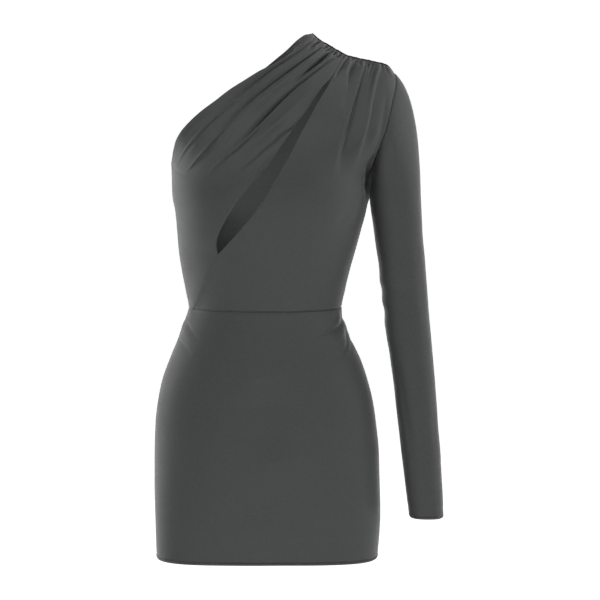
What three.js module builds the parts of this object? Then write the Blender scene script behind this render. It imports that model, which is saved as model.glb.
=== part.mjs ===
// A short stretch dress with one shoulder, one long sleeve and a diagonal slit across the front, in
// the hollow form that it has when it is worn. Millimetres, +Z up, the front faces -Y and the sleeve
// is on +X. The model is drawn from the centre of the waist and then moved, so that its origin is
// the point under the shoulder seam where the wearer's shoulder holds the dress up.
import * as THREE from "three";

// Driving sizes
const WALL = 1.3; // cloth wall, drawn thicker than the real jersey
const SEAM_HALF_GAP = 0.16; // half of the gap between two sewn pieces
const SKIRT_LENGTH = 363; // waist seam to hem
const SHOULDER_ROUNDING = 95; // height over which the chest and back round in to the shoulder ridge
const SEAM_SHARE = 0.36; // share of the shoulder ridge that the draped front piece takes
const CUFF_HEIGHT = -305.5; // lower edge of the sleeve, from the waist
const TUBE_TOP = 150; // height below which the sleeve's rings are level
const UNDERARM_HEIGHT = 190;
const HELD_POINT = new THREE.Vector3(128, 0, 355); // where the shoulder carries the dress
const BINDING_RADIUS = 1.15; // gathered roll along the shoulder ridge
const BINDING_BUMPS = 17; // small swellings of the roll between its gathers
const BINDING_BUMP_HEIGHT = 0.35;
const BINDING_SIDES = 6;
const GATHER_COUNT = 15; // gathers along the whole shoulder ridge
const GATHER_DEPTH = 1.5;
const GATHER_REACH = 34; // how far down a gather can be seen
const GATHER_GROWTH = 5; // distance below the ridge in which a gather grows to its full height
const FOLD_HOLD = 0.45; // share of a fold's length along which it keeps its full height
const RIDGE_CALM = 4; // distance below the ridge in which folds level out to the seam

const CLOTH_COLOUR = 0x454746;
const CLOTH_ROUGHNESS = 0.62;

// Level sections of the body of the dress, from hem to neck. left and right are the half widths
// towards -X and +X, front and back the depths, square how boxy the outline is. Above the underarm
// the widths go on past the piece's own edges.
const SECTIONS = [
  { z: -363, left: 160, right: 163, front: 85, back: 98, square: 3.3 },
  { z: -300, left: 162, right: 167, front: 88, back: 106, square: 3.0 },
  { z: -256, left: 163, right: 166, front: 90, back: 113, square: 2.8 },
  { z: -212, left: 162.5, right: 164.5, front: 91, back: 119, square: 2.7 },
  { z: -168, left: 161, right: 160, front: 90, back: 118, square: 2.6 },
  { z: -138, left: 157.5, right: 155.5, front: 88, back: 112, square: 2.5 },
  { z: -108, left: 151.5, right: 148, front: 86, back: 104, square: 2.4 },
  { z: -79, left: 141, right: 138, front: 84, back: 95, square: 2.35 },
  { z: -50, left: 129, right: 124.5, front: 82, back: 86, square: 2.3 },
  { z: -20, left: 118.5, right: 113, front: 81, back: 79, square: 2.3 },
  { z: 0, left: 112, right: 110, front: 82, back: 77, square: 2.3 },
  { z: 23, left: 116, right: 114.5, front: 86, back: 78, square: 2.3 },
  { z: 52, left: 121.5, right: 121.5, front: 93, back: 82, square: 2.3 },
  { z: 81, left: 125.5, right: 129.5, front: 101, back: 88, square: 2.3 },
  { z: 110, left: 127.5, right: 137, front: 110, back: 94, square: 2.3 },
  { z: 139, left: 130, right: 144.5, front: 116, back: 99, square: 2.3 },
  { z: 157, left: 133.5, right: 147.5, front: 118.5, back: 102, square: 2.3 },
  { z: 175, left: 134.8, right: 148.5, front: 119, back: 104, square: 2.3 },
  { z: 190, left: 135, right: 150, front: 117, back: 105, square: 2.3 },
  { z: 211, left: 136, right: 164, front: 112, back: 105, square: 2.3 },
  { z: 229, left: 141, right: 180, front: 105, back: 104, square: 2.3 },
  { z: 250, left: 156, right: 198, front: 95, back: 102, square: 2.3 },
  { z: 270, left: 172, right: 208, front: 85, back: 99, square: 2.3 },
  { z: 300, left: 190, right: 214, front: 73, back: 92, square: 2.3 },
  { z: 330, left: 200, right: 216, front: 63, back: 82, square: 2.3 },
  { z: 360, left: 206, right: 218, front: 54, back: 68, square: 2.3 },
  { z: 395, left: 210, right: 220, front: 46, back: 54, square: 2.3 },
];

// Height of the shoulder ridge across the body. The first three rows carry it on past the neck.
const RIDGE = [
  { x: -210, z: 520 },
  { x: -60, z: 455 },
  { x: 20, z: 420 },
  { x: 65, z: 391 },
  { x: 78, z: 380.5 },
  { x: 92, z: 372.5 },
  { x: 104, z: 366 },
  { x: 115, z: 360 },
  { x: 132, z: 355.5 },
  { x: 149, z: 352 },
  { x: 161, z: 349.3 },
  { x: 171, z: 346.8 },
  { x: 178, z: 342.5 },
  { x: 184.5, z: 336 },
  { x: 194, z: 325 },
  { x: 210, z: 290 },
  { x: 222, z: 200 },
];
const NECK_END = 65.3; // x of the neck end of the shoulder ridge
const SHOULDER_END = 184.5; // x of its sleeve end

// Edges of the cut pieces, seen from the front, each from its lower end to its upper end.
const FRONT_NECKLINE = [
  { x: -134.5, z: 211 },
  { x: -130, z: 227 },
  { x: -125, z: 241 },
  { x: -116, z: 255 },
  { x: -103, z: 269 },
  { x: -87, z: 283 },
  { x: -68, z: 297 },
  { x: -50, z: 311 },
  { x: -28, z: 325 },
  { x: -5, z: 339 },
  { x: 8.5, z: 345.5 },
  { x: 23, z: 353.5 },
  { x: 38, z: 363.5 },
  { x: 52, z: 378 },
  { x: NECK_END, z: 391 },
];
const BACK_NECKLINE = [
  { x: -134.5, z: 211 },
  { x: -129, z: 226 },
  { x: -118, z: 240 },
  { x: -100, z: 256 },
  { x: -80, z: 273 },
  { x: -55, z: 296 },
  { x: -30, z: 320 },
  { x: -5, z: 341 },
  { x: 13, z: 355.5 },
  { x: 30.5, z: 369.5 },
  { x: 46.5, z: 383 },
  { x: 58, z: 390.3 },
  { x: NECK_END, z: 391 },
];
const ARMHOLE = [
  { x: 150, z: UNDERARM_HEIGHT },
  { x: 151.5, z: 198 },
  { x: 154.5, z: 208.5 },
  { x: 157.5, z: 218 },
  { x: 161.5, z: 229.5 },
  { x: 167, z: 244 },
  { x: 172, z: 258.5 },
  { x: 176, z: 275.5 },
  { x: 180, z: 292.5 },
  { x: 184, z: 308 },
  { x: 186.3, z: 325 },
  { x: SHOULDER_END, z: 336 },
];
const SLIT_TIP = { x: -66, z: 81.5 };
const SLIT_TOP = { x: 105, z: 349 };
const LOWER_SEAM = [
  { x: -95, z: 0 },
  { x: -93, z: 21 },
  { x: -87.5, z: 33 },
  { x: -83, z: 47 },
  { x: -79, z: 56 },
  { x: -72.5, z: 69 },
  SLIT_TIP,
];
const SLIT_LEFT_EDGE = [
  SLIT_TIP,
  { x: -68, z: 98 },
  { x: -64, z: 113 },
  { x: -52, z: 136 },
  { x: -33, z: 164 },
  { x: -9.5, z: 193 },
  { x: 7, z: 211 },
  { x: 22, z: 233 },
  { x: 42.5, z: 263 },
  { x: 59.5, z: 285.5 },
  { x: 77, z: 312 },
  { x: 96.5, z: 334 },
  SLIT_TOP,
];
const SLIT_RIGHT_EDGE = [
  SLIT_TIP,
  { x: -52.5, z: 96 },
  { x: -34, z: 117 },
  { x: -15, z: 140 },
  { x: 3.5, z: 166 },
  { x: 22, z: 197 },
  { x: 36.5, z: 222 },
  { x: 51, z: 251 },
  { x: 72, z: 288 },
  { x: 93.5, z: 325 },
  SLIT_TOP,
];

// Folds that the cloth is pulled into, each on a curve through a start, a middle and an end, seen
// from the front or from the back. rise is outwards where positive. A fold is strongest at its start.
const FOLDS = [
  { side: "front", x1: 76, z1: 379, x2: 3, z2: 333, x3: -44, z3: 300, rise: -3.0, width: 6 },
  { side: "front", x1: -30, z1: 309, x2: -90, z2: 259, x3: -125, z3: 204, rise: -2.4, width: 6 },
  { side: "front", x1: 80, z1: 377, x2: -9, z2: 317, x3: -115, z3: 208, rise: 2.6, width: 7 },
  { side: "front", x1: 82, z1: 371, x2: -4, z2: 312, x3: -106, z3: 196, rise: -3.4, width: 6 },
  { side: "front", x1: 88, z1: 369, x2: 8, z2: 308, x3: -90, z3: 199, rise: 2.6, width: 7 },
  { side: "front", x1: 93, z1: 364, x2: 19, z2: 299, x3: -80, z3: 187, rise: -5.0, width: 6.5 },
  { side: "front", x1: 101, z1: 361, x2: 40, z2: 308, x3: -60, z3: 195, rise: 3.0, width: 8 },
  { side: "front", x1: 80, z1: 312, x2: 8, z2: 239, x3: -53, z3: 187, rise: -2.4, width: 8 },
  { side: "front", x1: 84, z1: 311, x2: 36, z2: 257, x3: -44, z3: 180, rise: 2.4, width: 7 },
  { side: "front", x1: 126, z1: 353, x2: 122, z2: 339, x3: 116, z3: 322, rise: -2.4, width: 5 },
  { side: "front", x1: 143, z1: 353, x2: 128, z2: 303, x3: 111, z3: 236, rise: -4.2, width: 7 },
  { side: "front", x1: 134, z1: 353, x2: 118, z2: 298, x3: 98, z3: 196, rise: 2.8, width: 8 },
  { side: "front", x1: 158, z1: 348, x2: 149, z2: 286, x3: 122, z3: 203, rise: 2.8, width: 7 },
  { side: "front", x1: 151, z1: 351, x2: 148, z2: 343, x3: 144, z3: 332, rise: -2.2, width: 5 },
  { side: "front", x1: 112, z1: 250, x2: 106, z2: 225, x3: 97, z3: 200, rise: -2.2, width: 7 },
  { side: "front", x1: 156, z1: 224, x2: 144, z2: 199, x3: 136, z3: 172, rise: 3.0, width: 5 },
  { side: "front", x1: 153, z1: 210, x2: 148, z2: 192, x3: 144, z3: 170, rise: -3.0, width: 5 },
  { side: "front", x1: -116, z1: -23, x2: -106, z2: -30, x3: -91, z3: -39, rise: -1.8, width: 6 },
  { side: "front", x1: -124, z1: -46, x2: -112, z2: -58, x3: -97, z3: -70, rise: -1.8, width: 7 },
  { side: "front", x1: 112, z1: -17, x2: 101, z2: -26, x3: 87, z3: -35, rise: -1.8, width: 6 },
  { side: "front", x1: 125, z1: -55, x2: 114, z2: -65, x3: 101, z3: -77, rise: -2.0, width: 7 },
  { side: "back", x1: 84, z1: 380, x2: 40, z2: 330, x3: -20, z3: 280, rise: -2.6, width: 7 },
  { side: "back", x1: 98, z1: 372, x2: 62, z2: 310, x3: 0, z3: 240, rise: -3.0, width: 8 },
  { side: "back", x1: 118, z1: 362, x2: 96, z2: 300, x3: 60, z3: 215, rise: -2.6, width: 8 },
  { side: "back", x1: 140, z1: 357, x2: 128, z2: 300, x3: 108, z3: 225, rise: -3.0, width: 8 },
  { side: "back", x1: 160, z1: 352, x2: 154, z2: 310, x3: 140, z3: 250, rise: -2.2, width: 7 },
  { side: "back", x1: -114, z1: -22, x2: -98, z2: -30, x3: -76, z3: -36, rise: -1.8, width: 6 },
  { side: "back", x1: 112, z1: -20, x2: 96, z2: -29, x3: 72, z3: -37, rise: -1.8, width: 6 },
];

// Level rings of the sleeve below its head. x and y are the centre, wide and deep the half sizes.
const SLEEVE_RINGS = [
  { z: 150, x: 187, y: 0, wide: 36.8, deep: 43 },
  { z: 125, x: 189.3, y: 0, wide: 36, deep: 42 },
  { z: 82, x: 194, y: 0, wide: 34.6, deep: 40.5 },
  { z: 9, x: 201.3, y: -2, wide: 33.2, deep: 38 },
  { z: -64, x: 209.5, y: -8, wide: 31.3, deep: 36 },
  { z: -137, x: 217.5, y: -15, wide: 29.8, deep: 34 },
  { z: -211, x: 225.3, y: -22, wide: 28.4, deep: 31.5 },
  { z: -285, x: 233, y: -27, wide: 25.8, deep: 29 },
  { z: CUFF_HEIGHT, x: 235, y: -28, wide: 24.7, deep: 28 },
];

// How the sleeve's head leaves the armhole and comes into the first level ring. side, front and drop
// give the direction at the underarm, and the two top values what is added to it at the top.
const HEAD = { side: 0.24, sideTop: 0.5, front: 0.24, drop: -1, dropTop: 0.32, leave: 0.26, arrive: 0.36 };

// Soft bends of the sleeve, rings that rise or fall on one side of it. turn is the angle of the
// strongest point, from the outside of the arm through the front, and span its height either way.
const SLEEVE_BENDS = [
  { z: 22, turn: 165, rise: -1.6, span: 13 },
  { z: -8, turn: 190, rise: -1.4, span: 12 },
  { z: -45, turn: 150, rise: 1.2, span: 16 },
  { z: 120, turn: 130, rise: -1.5, span: 16 },
  { z: -250, turn: 60, rise: -1.0, span: 14 },
];

// Spans of each grid. The bodice's pieces share their rows, so that their edges meet at the same points.
const GRIDS = {
  front_drape: { across: 26, along: 24 },
  front_main: { across: 24, along: 24 },
  bodice_back: { across: 28, along: 24 },
  skirt: { across: 20, along: 16 },
  sleeve: { around: 24, head: 8, tube: 21 },
};
const LOWER_SEAM_SHARE = 5 / 24; // rows of the bodice from the waist to the slit's tip
const SLIT_SHARE = 22 / 24; // and from the waist to the slit's top
const UNDERARM_SHARE = 12 / 24; // and up the side seam under the sleeve
const ARMPIT_SHARE = 10 / 24; // and up the other side seam

// Smooth interpolation of one column of a table, without overshoot.
function column(table, key, name, at) {
  const last = table.length - 1;
  let i = 0;
  while (i < last - 1 && at > table[i + 1][key]) i += 1;
  const slope = (j) =>
    (table[j + 1][name] - table[j][name]) / (table[j + 1][key] - table[j][key]);
  const tangent = (j) => {
    if (j === 0 || j === last) return slope(Math.min(j, last - 1));
    const before = slope(j - 1);
    const after = slope(j);
    return before * after <= 0 ? 0 : (2 * before * after) / (before + after);
  };
  const span = table[i + 1][key] - table[i][key];
  const t = (at - table[i][key]) / span;
  if (t < 0) return table[i][name] + t * span * tangent(i);
  if (t > 1) return table[i + 1][name] + (t - 1) * span * tangent(i + 1);
  const t2 = t * t;
  const t3 = t2 * t;
  return (
    (2 * t3 - 3 * t2 + 1) * table[i][name] +
    (t3 - 2 * t2 + t) * span * tangent(i) +
    (3 * t2 - 2 * t3) * table[i + 1][name] +
    (t3 - t2) * span * tangent(i + 1)
  );
}

const ridgeHeight = (x) => column(RIDGE, "x", "z", x);

function sectionAt(z) {
  const value = (name) => column(SECTIONS, "z", name, z);
  return {
    left: value("left"),
    right: value("right"),
    front: value("front"),
    back: value("back"),
    square: value("square"),
  };
}

// The body's surface is addressed by turn, the angle from the middle of the front or back towards
// +X, and rise, which is the height itself and, near the ridge, the length over its rounding.
function riseOf(x, z) {
  const below = (ridgeHeight(x) - z) / SHOULDER_ROUNDING;
  if (below >= 1) return z;
  const bend = Math.acos(1 - Math.max(0, below));
  return ridgeHeight(x) + SHOULDER_ROUNDING * (Math.PI / 2 - 1 - bend);
}

function turnOf(side, x, z) {
  const s = sectionAt(z);
  const half = x > 0 ? s.right : s.left;
  const share = Math.min(1, Math.abs(x) / half);
  const depth = side === "front" ? s.front : s.back;
  return Math.atan2(x, depth * Math.pow(1 - Math.pow(share, s.square), 1 / s.square));
}

// A point of the smooth surface, for a turn and a rise.
function smoothPoint(side, turn, rise) {
  let z = Math.min(rise, 380);
  let x = 0;
  let s = sectionAt(z);
  let radius = 0;
  let bend = Math.PI / 2;
  for (let step = 0; step < 6; step += 1) {
    s = sectionAt(z);
    const half = turn > 0 ? s.right : s.left;
    const depth = side === "front" ? s.front : s.back;
    const across = Math.pow(Math.abs(Math.sin(turn)) / half, s.square);
    const out = Math.pow(Math.abs(Math.cos(turn)) / depth, s.square);
    radius = Math.pow(across + out, -1 / s.square);
    x = radius * Math.sin(turn);
    const start = ridgeHeight(x) - SHOULDER_ROUNDING;
    bend = Math.PI / 2 - Math.max(0, (rise - start) / SHOULDER_ROUNDING);
    z = rise <= start ? rise : start + SHOULDER_ROUNDING * Math.cos(bend);
  }
  const outwards = side === "front" ? -1 : 1;
  return new THREE.Vector3(x, outwards * radius * Math.cos(turn) * Math.sin(bend), z);
}

// Distance from a point to a fold's curve and how far along it, both seen from the front.
function nearFold(fold, x, z) {
  const cx = 2 * fold.x2 - (fold.x1 + fold.x3) / 2;
  const cz = 2 * fold.z2 - (fold.z1 + fold.z3) / 2;
  const steps = 12;
  let best = { far: Infinity, share: 0 };
  let px = fold.x1;
  let pz = fold.z1;
  for (let i = 1; i <= steps; i += 1) {
    const t = i / steps;
    const qx = (1 - t) * (1 - t) * fold.x1 + 2 * t * (1 - t) * cx + t * t * fold.x3;
    const qz = (1 - t) * (1 - t) * fold.z1 + 2 * t * (1 - t) * cz + t * t * fold.z3;
    const dx = qx - px;
    const dz = qz - pz;
    const along = ((x - px) * dx + (z - pz) * dz) / (dx * dx + dz * dz);
    const held = Math.min(1, Math.max(0, along));
    const far = Math.hypot(x - px - held * dx, z - pz - held * dz);
    if (far < best.far) best = { far, share: (i - 1 + held) / steps };
    px = qx;
    pz = qz;
  }
  return best;
}

const easeTo = (t) => t * t * (3 - 2 * t);

// How far the cloth stands out of the smooth surface at a point, from all folds and gathers.
function foldHeight(side, x, z) {
  const facing = side === "front" ? 1 : -1;
  let height = 0;
  for (const fold of FOLDS) {
    if (fold.side !== side) continue;
    const { far, share } = nearFold(fold, x, z);
    if (far > 3 * fold.width) continue;
    const fade = 1 - easeTo(Math.max(0, (share - FOLD_HOLD) / (1 - FOLD_HOLD)));
    height += fold.rise * fade * Math.exp(-((far / fold.width) ** 2));
  }
  const below = ridgeHeight(x) - z;
  if (below < GATHER_REACH && x > NECK_END - 12) {
    const along = (x - NECK_END) / (SHOULDER_END - NECK_END);
    const grow = easeTo(Math.min(1, Math.max(0, below / GATHER_GROWTH)));
    const fade = 1 - easeTo(Math.max(0, below / GATHER_REACH));
    const uneven = facing * 0.4 * Math.sin(9 * along);
    height += GATHER_DEPTH * Math.cos(2 * Math.PI * GATHER_COUNT * along + uneven) * grow * fade;
  }
  return height * Math.min(1, Math.max(0, below) / RIDGE_CALM);
}

// A vector normal to the smooth surface, pointing out.
function outwardAt(side, turn, rise) {
  const small = 0.004;
  const across = smoothPoint(side, turn + small, rise).sub(smoothPoint(side, turn - small, rise));
  const up = smoothPoint(side, turn, rise + 0.6).sub(smoothPoint(side, turn, rise - 0.6));
  const normal = across.cross(up).normalize();
  return side === "front" ? normal : normal.negate();
}

function clothPoint(side, turn, rise) {
  const point = smoothPoint(side, turn, rise);
  const height = foldHeight(side, point.x, point.z);
  return point.addScaledVector(outwardAt(side, turn, rise), height);
}

// An edge of a piece as a function of its share of length, from a list of points seen from the front.
function edgeOf(side, points) {
  const curve = new THREE.CatmullRomCurve3(
    points.map((p) => new THREE.Vector3(p.x, 0, p.z)),
    false,
    "centripetal",
  );
  return (share) => {
    const p = curve.getPointAt(Math.min(1, Math.max(0, share)));
    return { turn: turnOf(side, p.x, p.z), rise: riseOf(p.x, p.z) };
  };
}

// A side seam is the line where the body turns from front to back.
function sideSeam(from, to, turn) {
  return (share) => ({ turn, rise: from + (to - from) * share });
}

// Joins two edges end to end, giving each the share of the whole that it is told.
function chain(first, second, share) {
  return (at) => (at <= share ? first(at / share) : second((at - share) / (1 - share)));
}

// A stretch of the shoulder ridge between two values of x.
function ridgeEdge(side, from, to) {
  return (share) => {
    const x = from + (to - from) * share;
    return { turn: turnOf(side, x, ridgeHeight(x)), rise: riseOf(x, ridgeHeight(x)) };
  };
}

function waistEdge(from, to) {
  return (share) => ({ turn: from + (to - from) * share, rise: 0 });
}

// A patch of the surface between four edges, as a function of two shares.
function patch(left, right, bottom, top) {
  const mix = (a, b, t) => a + (b - a) * t;
  return (u, v) => {
    const result = {};
    for (const name of ["turn", "rise"]) {
      const sides = mix(left(v)[name], right(v)[name], u);
      const ends = mix(bottom(u)[name], top(u)[name], v);
      const low = mix(left(0)[name], right(0)[name], u);
      const high = mix(left(1)[name], right(1)[name], u);
      result[name] = sides + ends - mix(low, high, v);
    }
    return result;
  };
}

// A closed wall from a grid of outer points. Its inner points lie a wall's thickness behind, along
// the normals given, and its four edges are closed. A ring grid joins its last column to its first.
function wallGeometry(outer, normals, ring) {
  const rows = outer.length;
  const columns = outer[0].length;
  const positions = [];
  for (const offset of [0, -WALL]) {
    outer.forEach((row, j) =>
      row.forEach((point, i) => {
        const p = point.clone().addScaledVector(normals[j][i], offset);
        positions.push(p.x, p.y, p.z);
      }),
    );
  }
  const back = rows * columns;
  const index = [];
  const quad = (a, b, c, d) => index.push(a, b, c, a, c, d);
  const spans = ring ? columns : columns - 1;
  const at = (j, i) => j * columns + (i % columns);
  for (let j = 0; j < rows - 1; j += 1) {
    for (let i = 0; i < spans; i += 1) {
      const corners = [at(j, i), at(j, i + 1), at(j + 1, i + 1), at(j + 1, i)];
      quad(...corners);
      quad(...corners.map((c) => c + back).reverse());
    }
  }
  const close = (a, b) => quad(a, a + back, b + back, b);
  for (let i = 0; i < spans; i += 1) {
    close(at(0, i), at(0, i + 1));
    close(at(rows - 1, i + 1), at(rows - 1, i));
  }
  if (!ring) {
    for (let j = 0; j < rows - 1; j += 1) {
      close(at(j + 1, 0), at(j, 0));
      close(at(j, columns - 1), at(j + 1, columns - 1));
    }
  }
  const geometry = new THREE.BufferGeometry();
  geometry.setAttribute("position", new THREE.Float32BufferAttribute(positions, 3));
  geometry.setIndex(index);
  geometry.computeVertexNormals();
  return geometry;
}

const cloth = new THREE.MeshStandardMaterial({
  color: CLOTH_COLOUR,
  roughness: CLOTH_ROUGHNESS,
  metalness: 0,
});

function namedMesh(name, geometry) {
  const mesh = new THREE.Mesh(geometry, cloth.clone());
  mesh.name = name;
  return mesh;
}

// A panel of the body. shift moves it off its seams, and keeps it whole.
function bodyPanel(name, side, grid, place, shift) {
  const outer = [];
  const normals = [];
  for (let j = 0; j <= grid.along; j += 1) {
    const row = [];
    const rowNormals = [];
    for (let i = 0; i <= grid.across; i += 1) {
      const share = side === "front" ? i / grid.across : 1 - i / grid.across;
      const { turn, rise } = place(share, j / grid.along);
      const point = clothPoint(side, turn, rise);
      point.y += (side === "front" ? -1 : 1) * SEAM_HALF_GAP;
      row.push(point.add(shift(share, j / grid.along)));
      rowNormals.push(outwardAt(side, turn, rise));
    }
    outer.push(row);
    normals.push(rowNormals);
  }
  return namedMesh(name, wallGeometry(outer, normals, false));
}

const QUARTER = Math.PI / 2;
const SEAM_X = NECK_END + SEAM_SHARE * (SHOULDER_END - NECK_END);

// The edge that the two front pieces share or face each other across, seen from the drape or main.
function middleEdge(slitEdge) {
  const closed = edgeOf("front", [SLIT_TOP, { x: SEAM_X, z: ridgeHeight(SEAM_X) }]);
  const open = edgeOf("front", slitEdge);
  const share = (SLIT_SHARE - LOWER_SEAM_SHARE) / (1 - LOWER_SEAM_SHARE);
  return chain(edgeOf("front", LOWER_SEAM), chain(open, closed, share), LOWER_SEAM_SHARE);
}

function frontDrape() {
  const left = chain(
    sideSeam(0, FRONT_NECKLINE[0].z, -QUARTER),
    edgeOf("front", FRONT_NECKLINE),
    ARMPIT_SHARE,
  );
  const right = middleEdge(SLIT_LEFT_EDGE);
  const place = patch(
    left,
    right,
    waistEdge(-QUARTER, right(0).turn),
    ridgeEdge("front", NECK_END, SEAM_X),
  );
  const shift = (u, v) => new THREE.Vector3(-SEAM_HALF_GAP * u, 0, SEAM_HALF_GAP * (1 - v));
  return bodyPanel("front_drape", "front", GRIDS.front_drape, place, shift);
}

function frontMain() {
  const left = middleEdge(SLIT_RIGHT_EDGE);
  const right = chain(
    sideSeam(0, UNDERARM_HEIGHT, QUARTER),
    edgeOf("front", ARMHOLE),
    UNDERARM_SHARE,
  );
  const place = patch(
    left,
    right,
    waistEdge(left(0).turn, QUARTER),
    ridgeEdge("front", SEAM_X, SHOULDER_END),
  );
  const shift = (u, v) =>
    new THREE.Vector3(SEAM_HALF_GAP * (1 - u) - SEAM_HALF_GAP * u, 0, SEAM_HALF_GAP * (1 - v));
  return bodyPanel("front_main", "front", GRIDS.front_main, place, shift);
}

function bodiceBack() {
  const left = chain(
    sideSeam(0, BACK_NECKLINE[0].z, -QUARTER),
    edgeOf("back", BACK_NECKLINE),
    ARMPIT_SHARE,
  );
  const right = chain(
    sideSeam(0, UNDERARM_HEIGHT, QUARTER),
    edgeOf("back", ARMHOLE),
    UNDERARM_SHARE,
  );
  const place = patch(
    left,
    right,
    waistEdge(-QUARTER, QUARTER),
    ridgeEdge("back", NECK_END, SHOULDER_END),
  );
  const shift = (u, v) => new THREE.Vector3(-SEAM_HALF_GAP * u, 0, SEAM_HALF_GAP * (1 - v));
  return bodyPanel("bodice_back", "back", GRIDS.bodice_back, place, shift);
}

function skirtPanel(name, side) {
  const place = (u, v) => ({
    turn: -QUARTER + Math.PI * u,
    rise: -SKIRT_LENGTH * (1 - v),
  });
  const shift = (u, v) => new THREE.Vector3(0, 0, -SEAM_HALF_GAP * v);
  return bodyPanel(name, side, GRIDS.skirt, place, shift);
}

// The armhole as a closed loop: turn 0 is its top, a quarter its front, a half the underarm.
function armholePoint(turn) {
  const half = turn <= Math.PI ? turn / Math.PI : 2 - turn / Math.PI;
  const side = turn <= Math.PI ? "front" : "back";
  const { turn: bodyTurn, rise } = edgeOf(side, ARMHOLE)(1 - half);
  return smoothPoint(side, bodyTurn, rise);
}

function sleeveRingPoint(turn, z) {
  const flipped = SLEEVE_RINGS.map((row) => ({ ...row, drop: -row.z }));
  const value = (name) => column(flipped, "drop", name, -z);
  let out = 0;
  for (const bend of SLEEVE_BENDS) {
    const level = Math.exp(-(((z - bend.z) / bend.span) ** 2));
    const facing = Math.max(0, Math.cos(turn - (bend.turn * Math.PI) / 180));
    out += bend.rise * level * facing * facing;
  }
  const x = value("x") + (value("wide") + out) * Math.cos(turn);
  const y = value("y") - (value("deep") + out) * Math.sin(turn);
  return new THREE.Vector3(x, y, z);
}

// The sleeve's surface: the head runs from the armhole to the first level ring, then the tube.
function sleevePoint(turn, share) {
  if (share > 1) {
    const z = TUBE_TOP + (CUFF_HEIGHT - TUBE_TOP) * (share - 1);
    return sleeveRingPoint(turn, z);
  }
  const from = armholePoint(turn);
  const to = sleeveRingPoint(turn, TUBE_TOP);
  const length = from.distanceTo(to);
  const top = 0.5 + 0.5 * Math.cos(turn);
  const leave = new THREE.Vector3(
    HEAD.side + HEAD.sideTop * top,
    -HEAD.front * Math.sin(turn),
    HEAD.drop + HEAD.dropTop * top,
  ).normalize();
  const arrive = sleeveRingPoint(turn, TUBE_TOP - 4).sub(to).normalize();
  from.addScaledVector(leave, 2 * SEAM_HALF_GAP);
  return new THREE.CubicBezierCurve3(
    from,
    from.clone().addScaledVector(leave, HEAD.leave * length),
    to.clone().addScaledVector(arrive, -HEAD.arrive * length),
    to,
  ).getPoint(share);
}

function sleeve() {
  const { around, head, tube } = GRIDS.sleeve;
  const shares = [];
  for (let j = tube; j > 0; j -= 1) shares.push(1 + j / tube);
  for (let j = head; j >= 0; j -= 1) shares.push(j / head);
  const outer = [];
  const normals = [];
  for (const share of shares) {
    const row = [];
    const rowNormals = [];
    for (let i = 0; i < around; i += 1) {
      const turn = (-2 * Math.PI * i) / around + 2 * Math.PI;
      const at = (t, s) => sleevePoint((t + 2 * Math.PI) % (2 * Math.PI), s);
      const low = Math.max(0, share - 0.01);
      const down = at(turn, Math.min(2, share + 0.01)).sub(at(turn, low));
      const across = at(turn + 0.02, share).sub(at(turn - 0.02, share));
      row.push(at(turn, share));
      rowNormals.push(down.cross(across).normalize().negate());
    }
    outer.push(row);
    normals.push(rowNormals);
  }
  return namedMesh("sleeve", wallGeometry(outer, normals, true));
}

// The roll that holds the gathers: a thin cord along the ridge, drawn in at every gather.
function shoulderBinding() {
  const steps = 4 * BINDING_BUMPS;
  const lift = BINDING_RADIUS + BINDING_BUMP_HEIGHT + 2 * SEAM_HALF_GAP;
  const from = NECK_END + 0.6;
  const to = SHOULDER_END - 2;
  const points = [];
  for (let i = 0; i <= steps; i += 1) {
    const x = from + ((to - from) * i) / steps;
    const slope = ridgeHeight(x + 0.5) - ridgeHeight(x - 0.5);
    const up = new THREE.Vector3(-slope, 0, 1).normalize();
    const bump = BINDING_BUMP_HEIGHT * Math.sin((Math.PI * i) / 2);
    points.push(new THREE.Vector3(x, 0, ridgeHeight(x)).addScaledVector(up, lift + bump));
  }
  const outline = new THREE.Shape();
  for (let k = 0; k <= BINDING_SIDES; k += 1) {
    const a = (2 * Math.PI * k) / BINDING_SIDES;
    const method = k === 0 ? "moveTo" : "lineTo";
    outline[method](BINDING_RADIUS * Math.cos(a), BINDING_RADIUS * Math.sin(a));
  }
  const path = new THREE.CatmullRomCurve3(points);
  const geometry = new THREE.ExtrudeGeometry(outline, { steps, extrudePath: path });
  return namedMesh("shoulder_binding", geometry);
}

const dress = new THREE.Group();
dress.name = "dress";
const pieces = new THREE.Group();
pieces.position.copy(HELD_POINT).negate();
pieces.add(
  frontDrape(),
  frontMain(),
  bodiceBack(),
  skirtPanel("skirt_front", "front"),
  skirtPanel("skirt_back", "back"),
  sleeve(),
  shoulderBinding(),
);
dress.add(pieces);

export default dress;
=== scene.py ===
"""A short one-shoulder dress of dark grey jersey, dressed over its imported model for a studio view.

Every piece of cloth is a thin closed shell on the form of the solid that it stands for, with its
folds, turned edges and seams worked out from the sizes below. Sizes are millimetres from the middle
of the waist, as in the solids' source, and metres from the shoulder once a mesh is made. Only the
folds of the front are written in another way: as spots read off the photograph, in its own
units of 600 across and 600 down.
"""

import logging
import math
from dataclasses import dataclass, field, replace
from enum import Enum
from typing import Callable, Optional, Sequence

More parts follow.
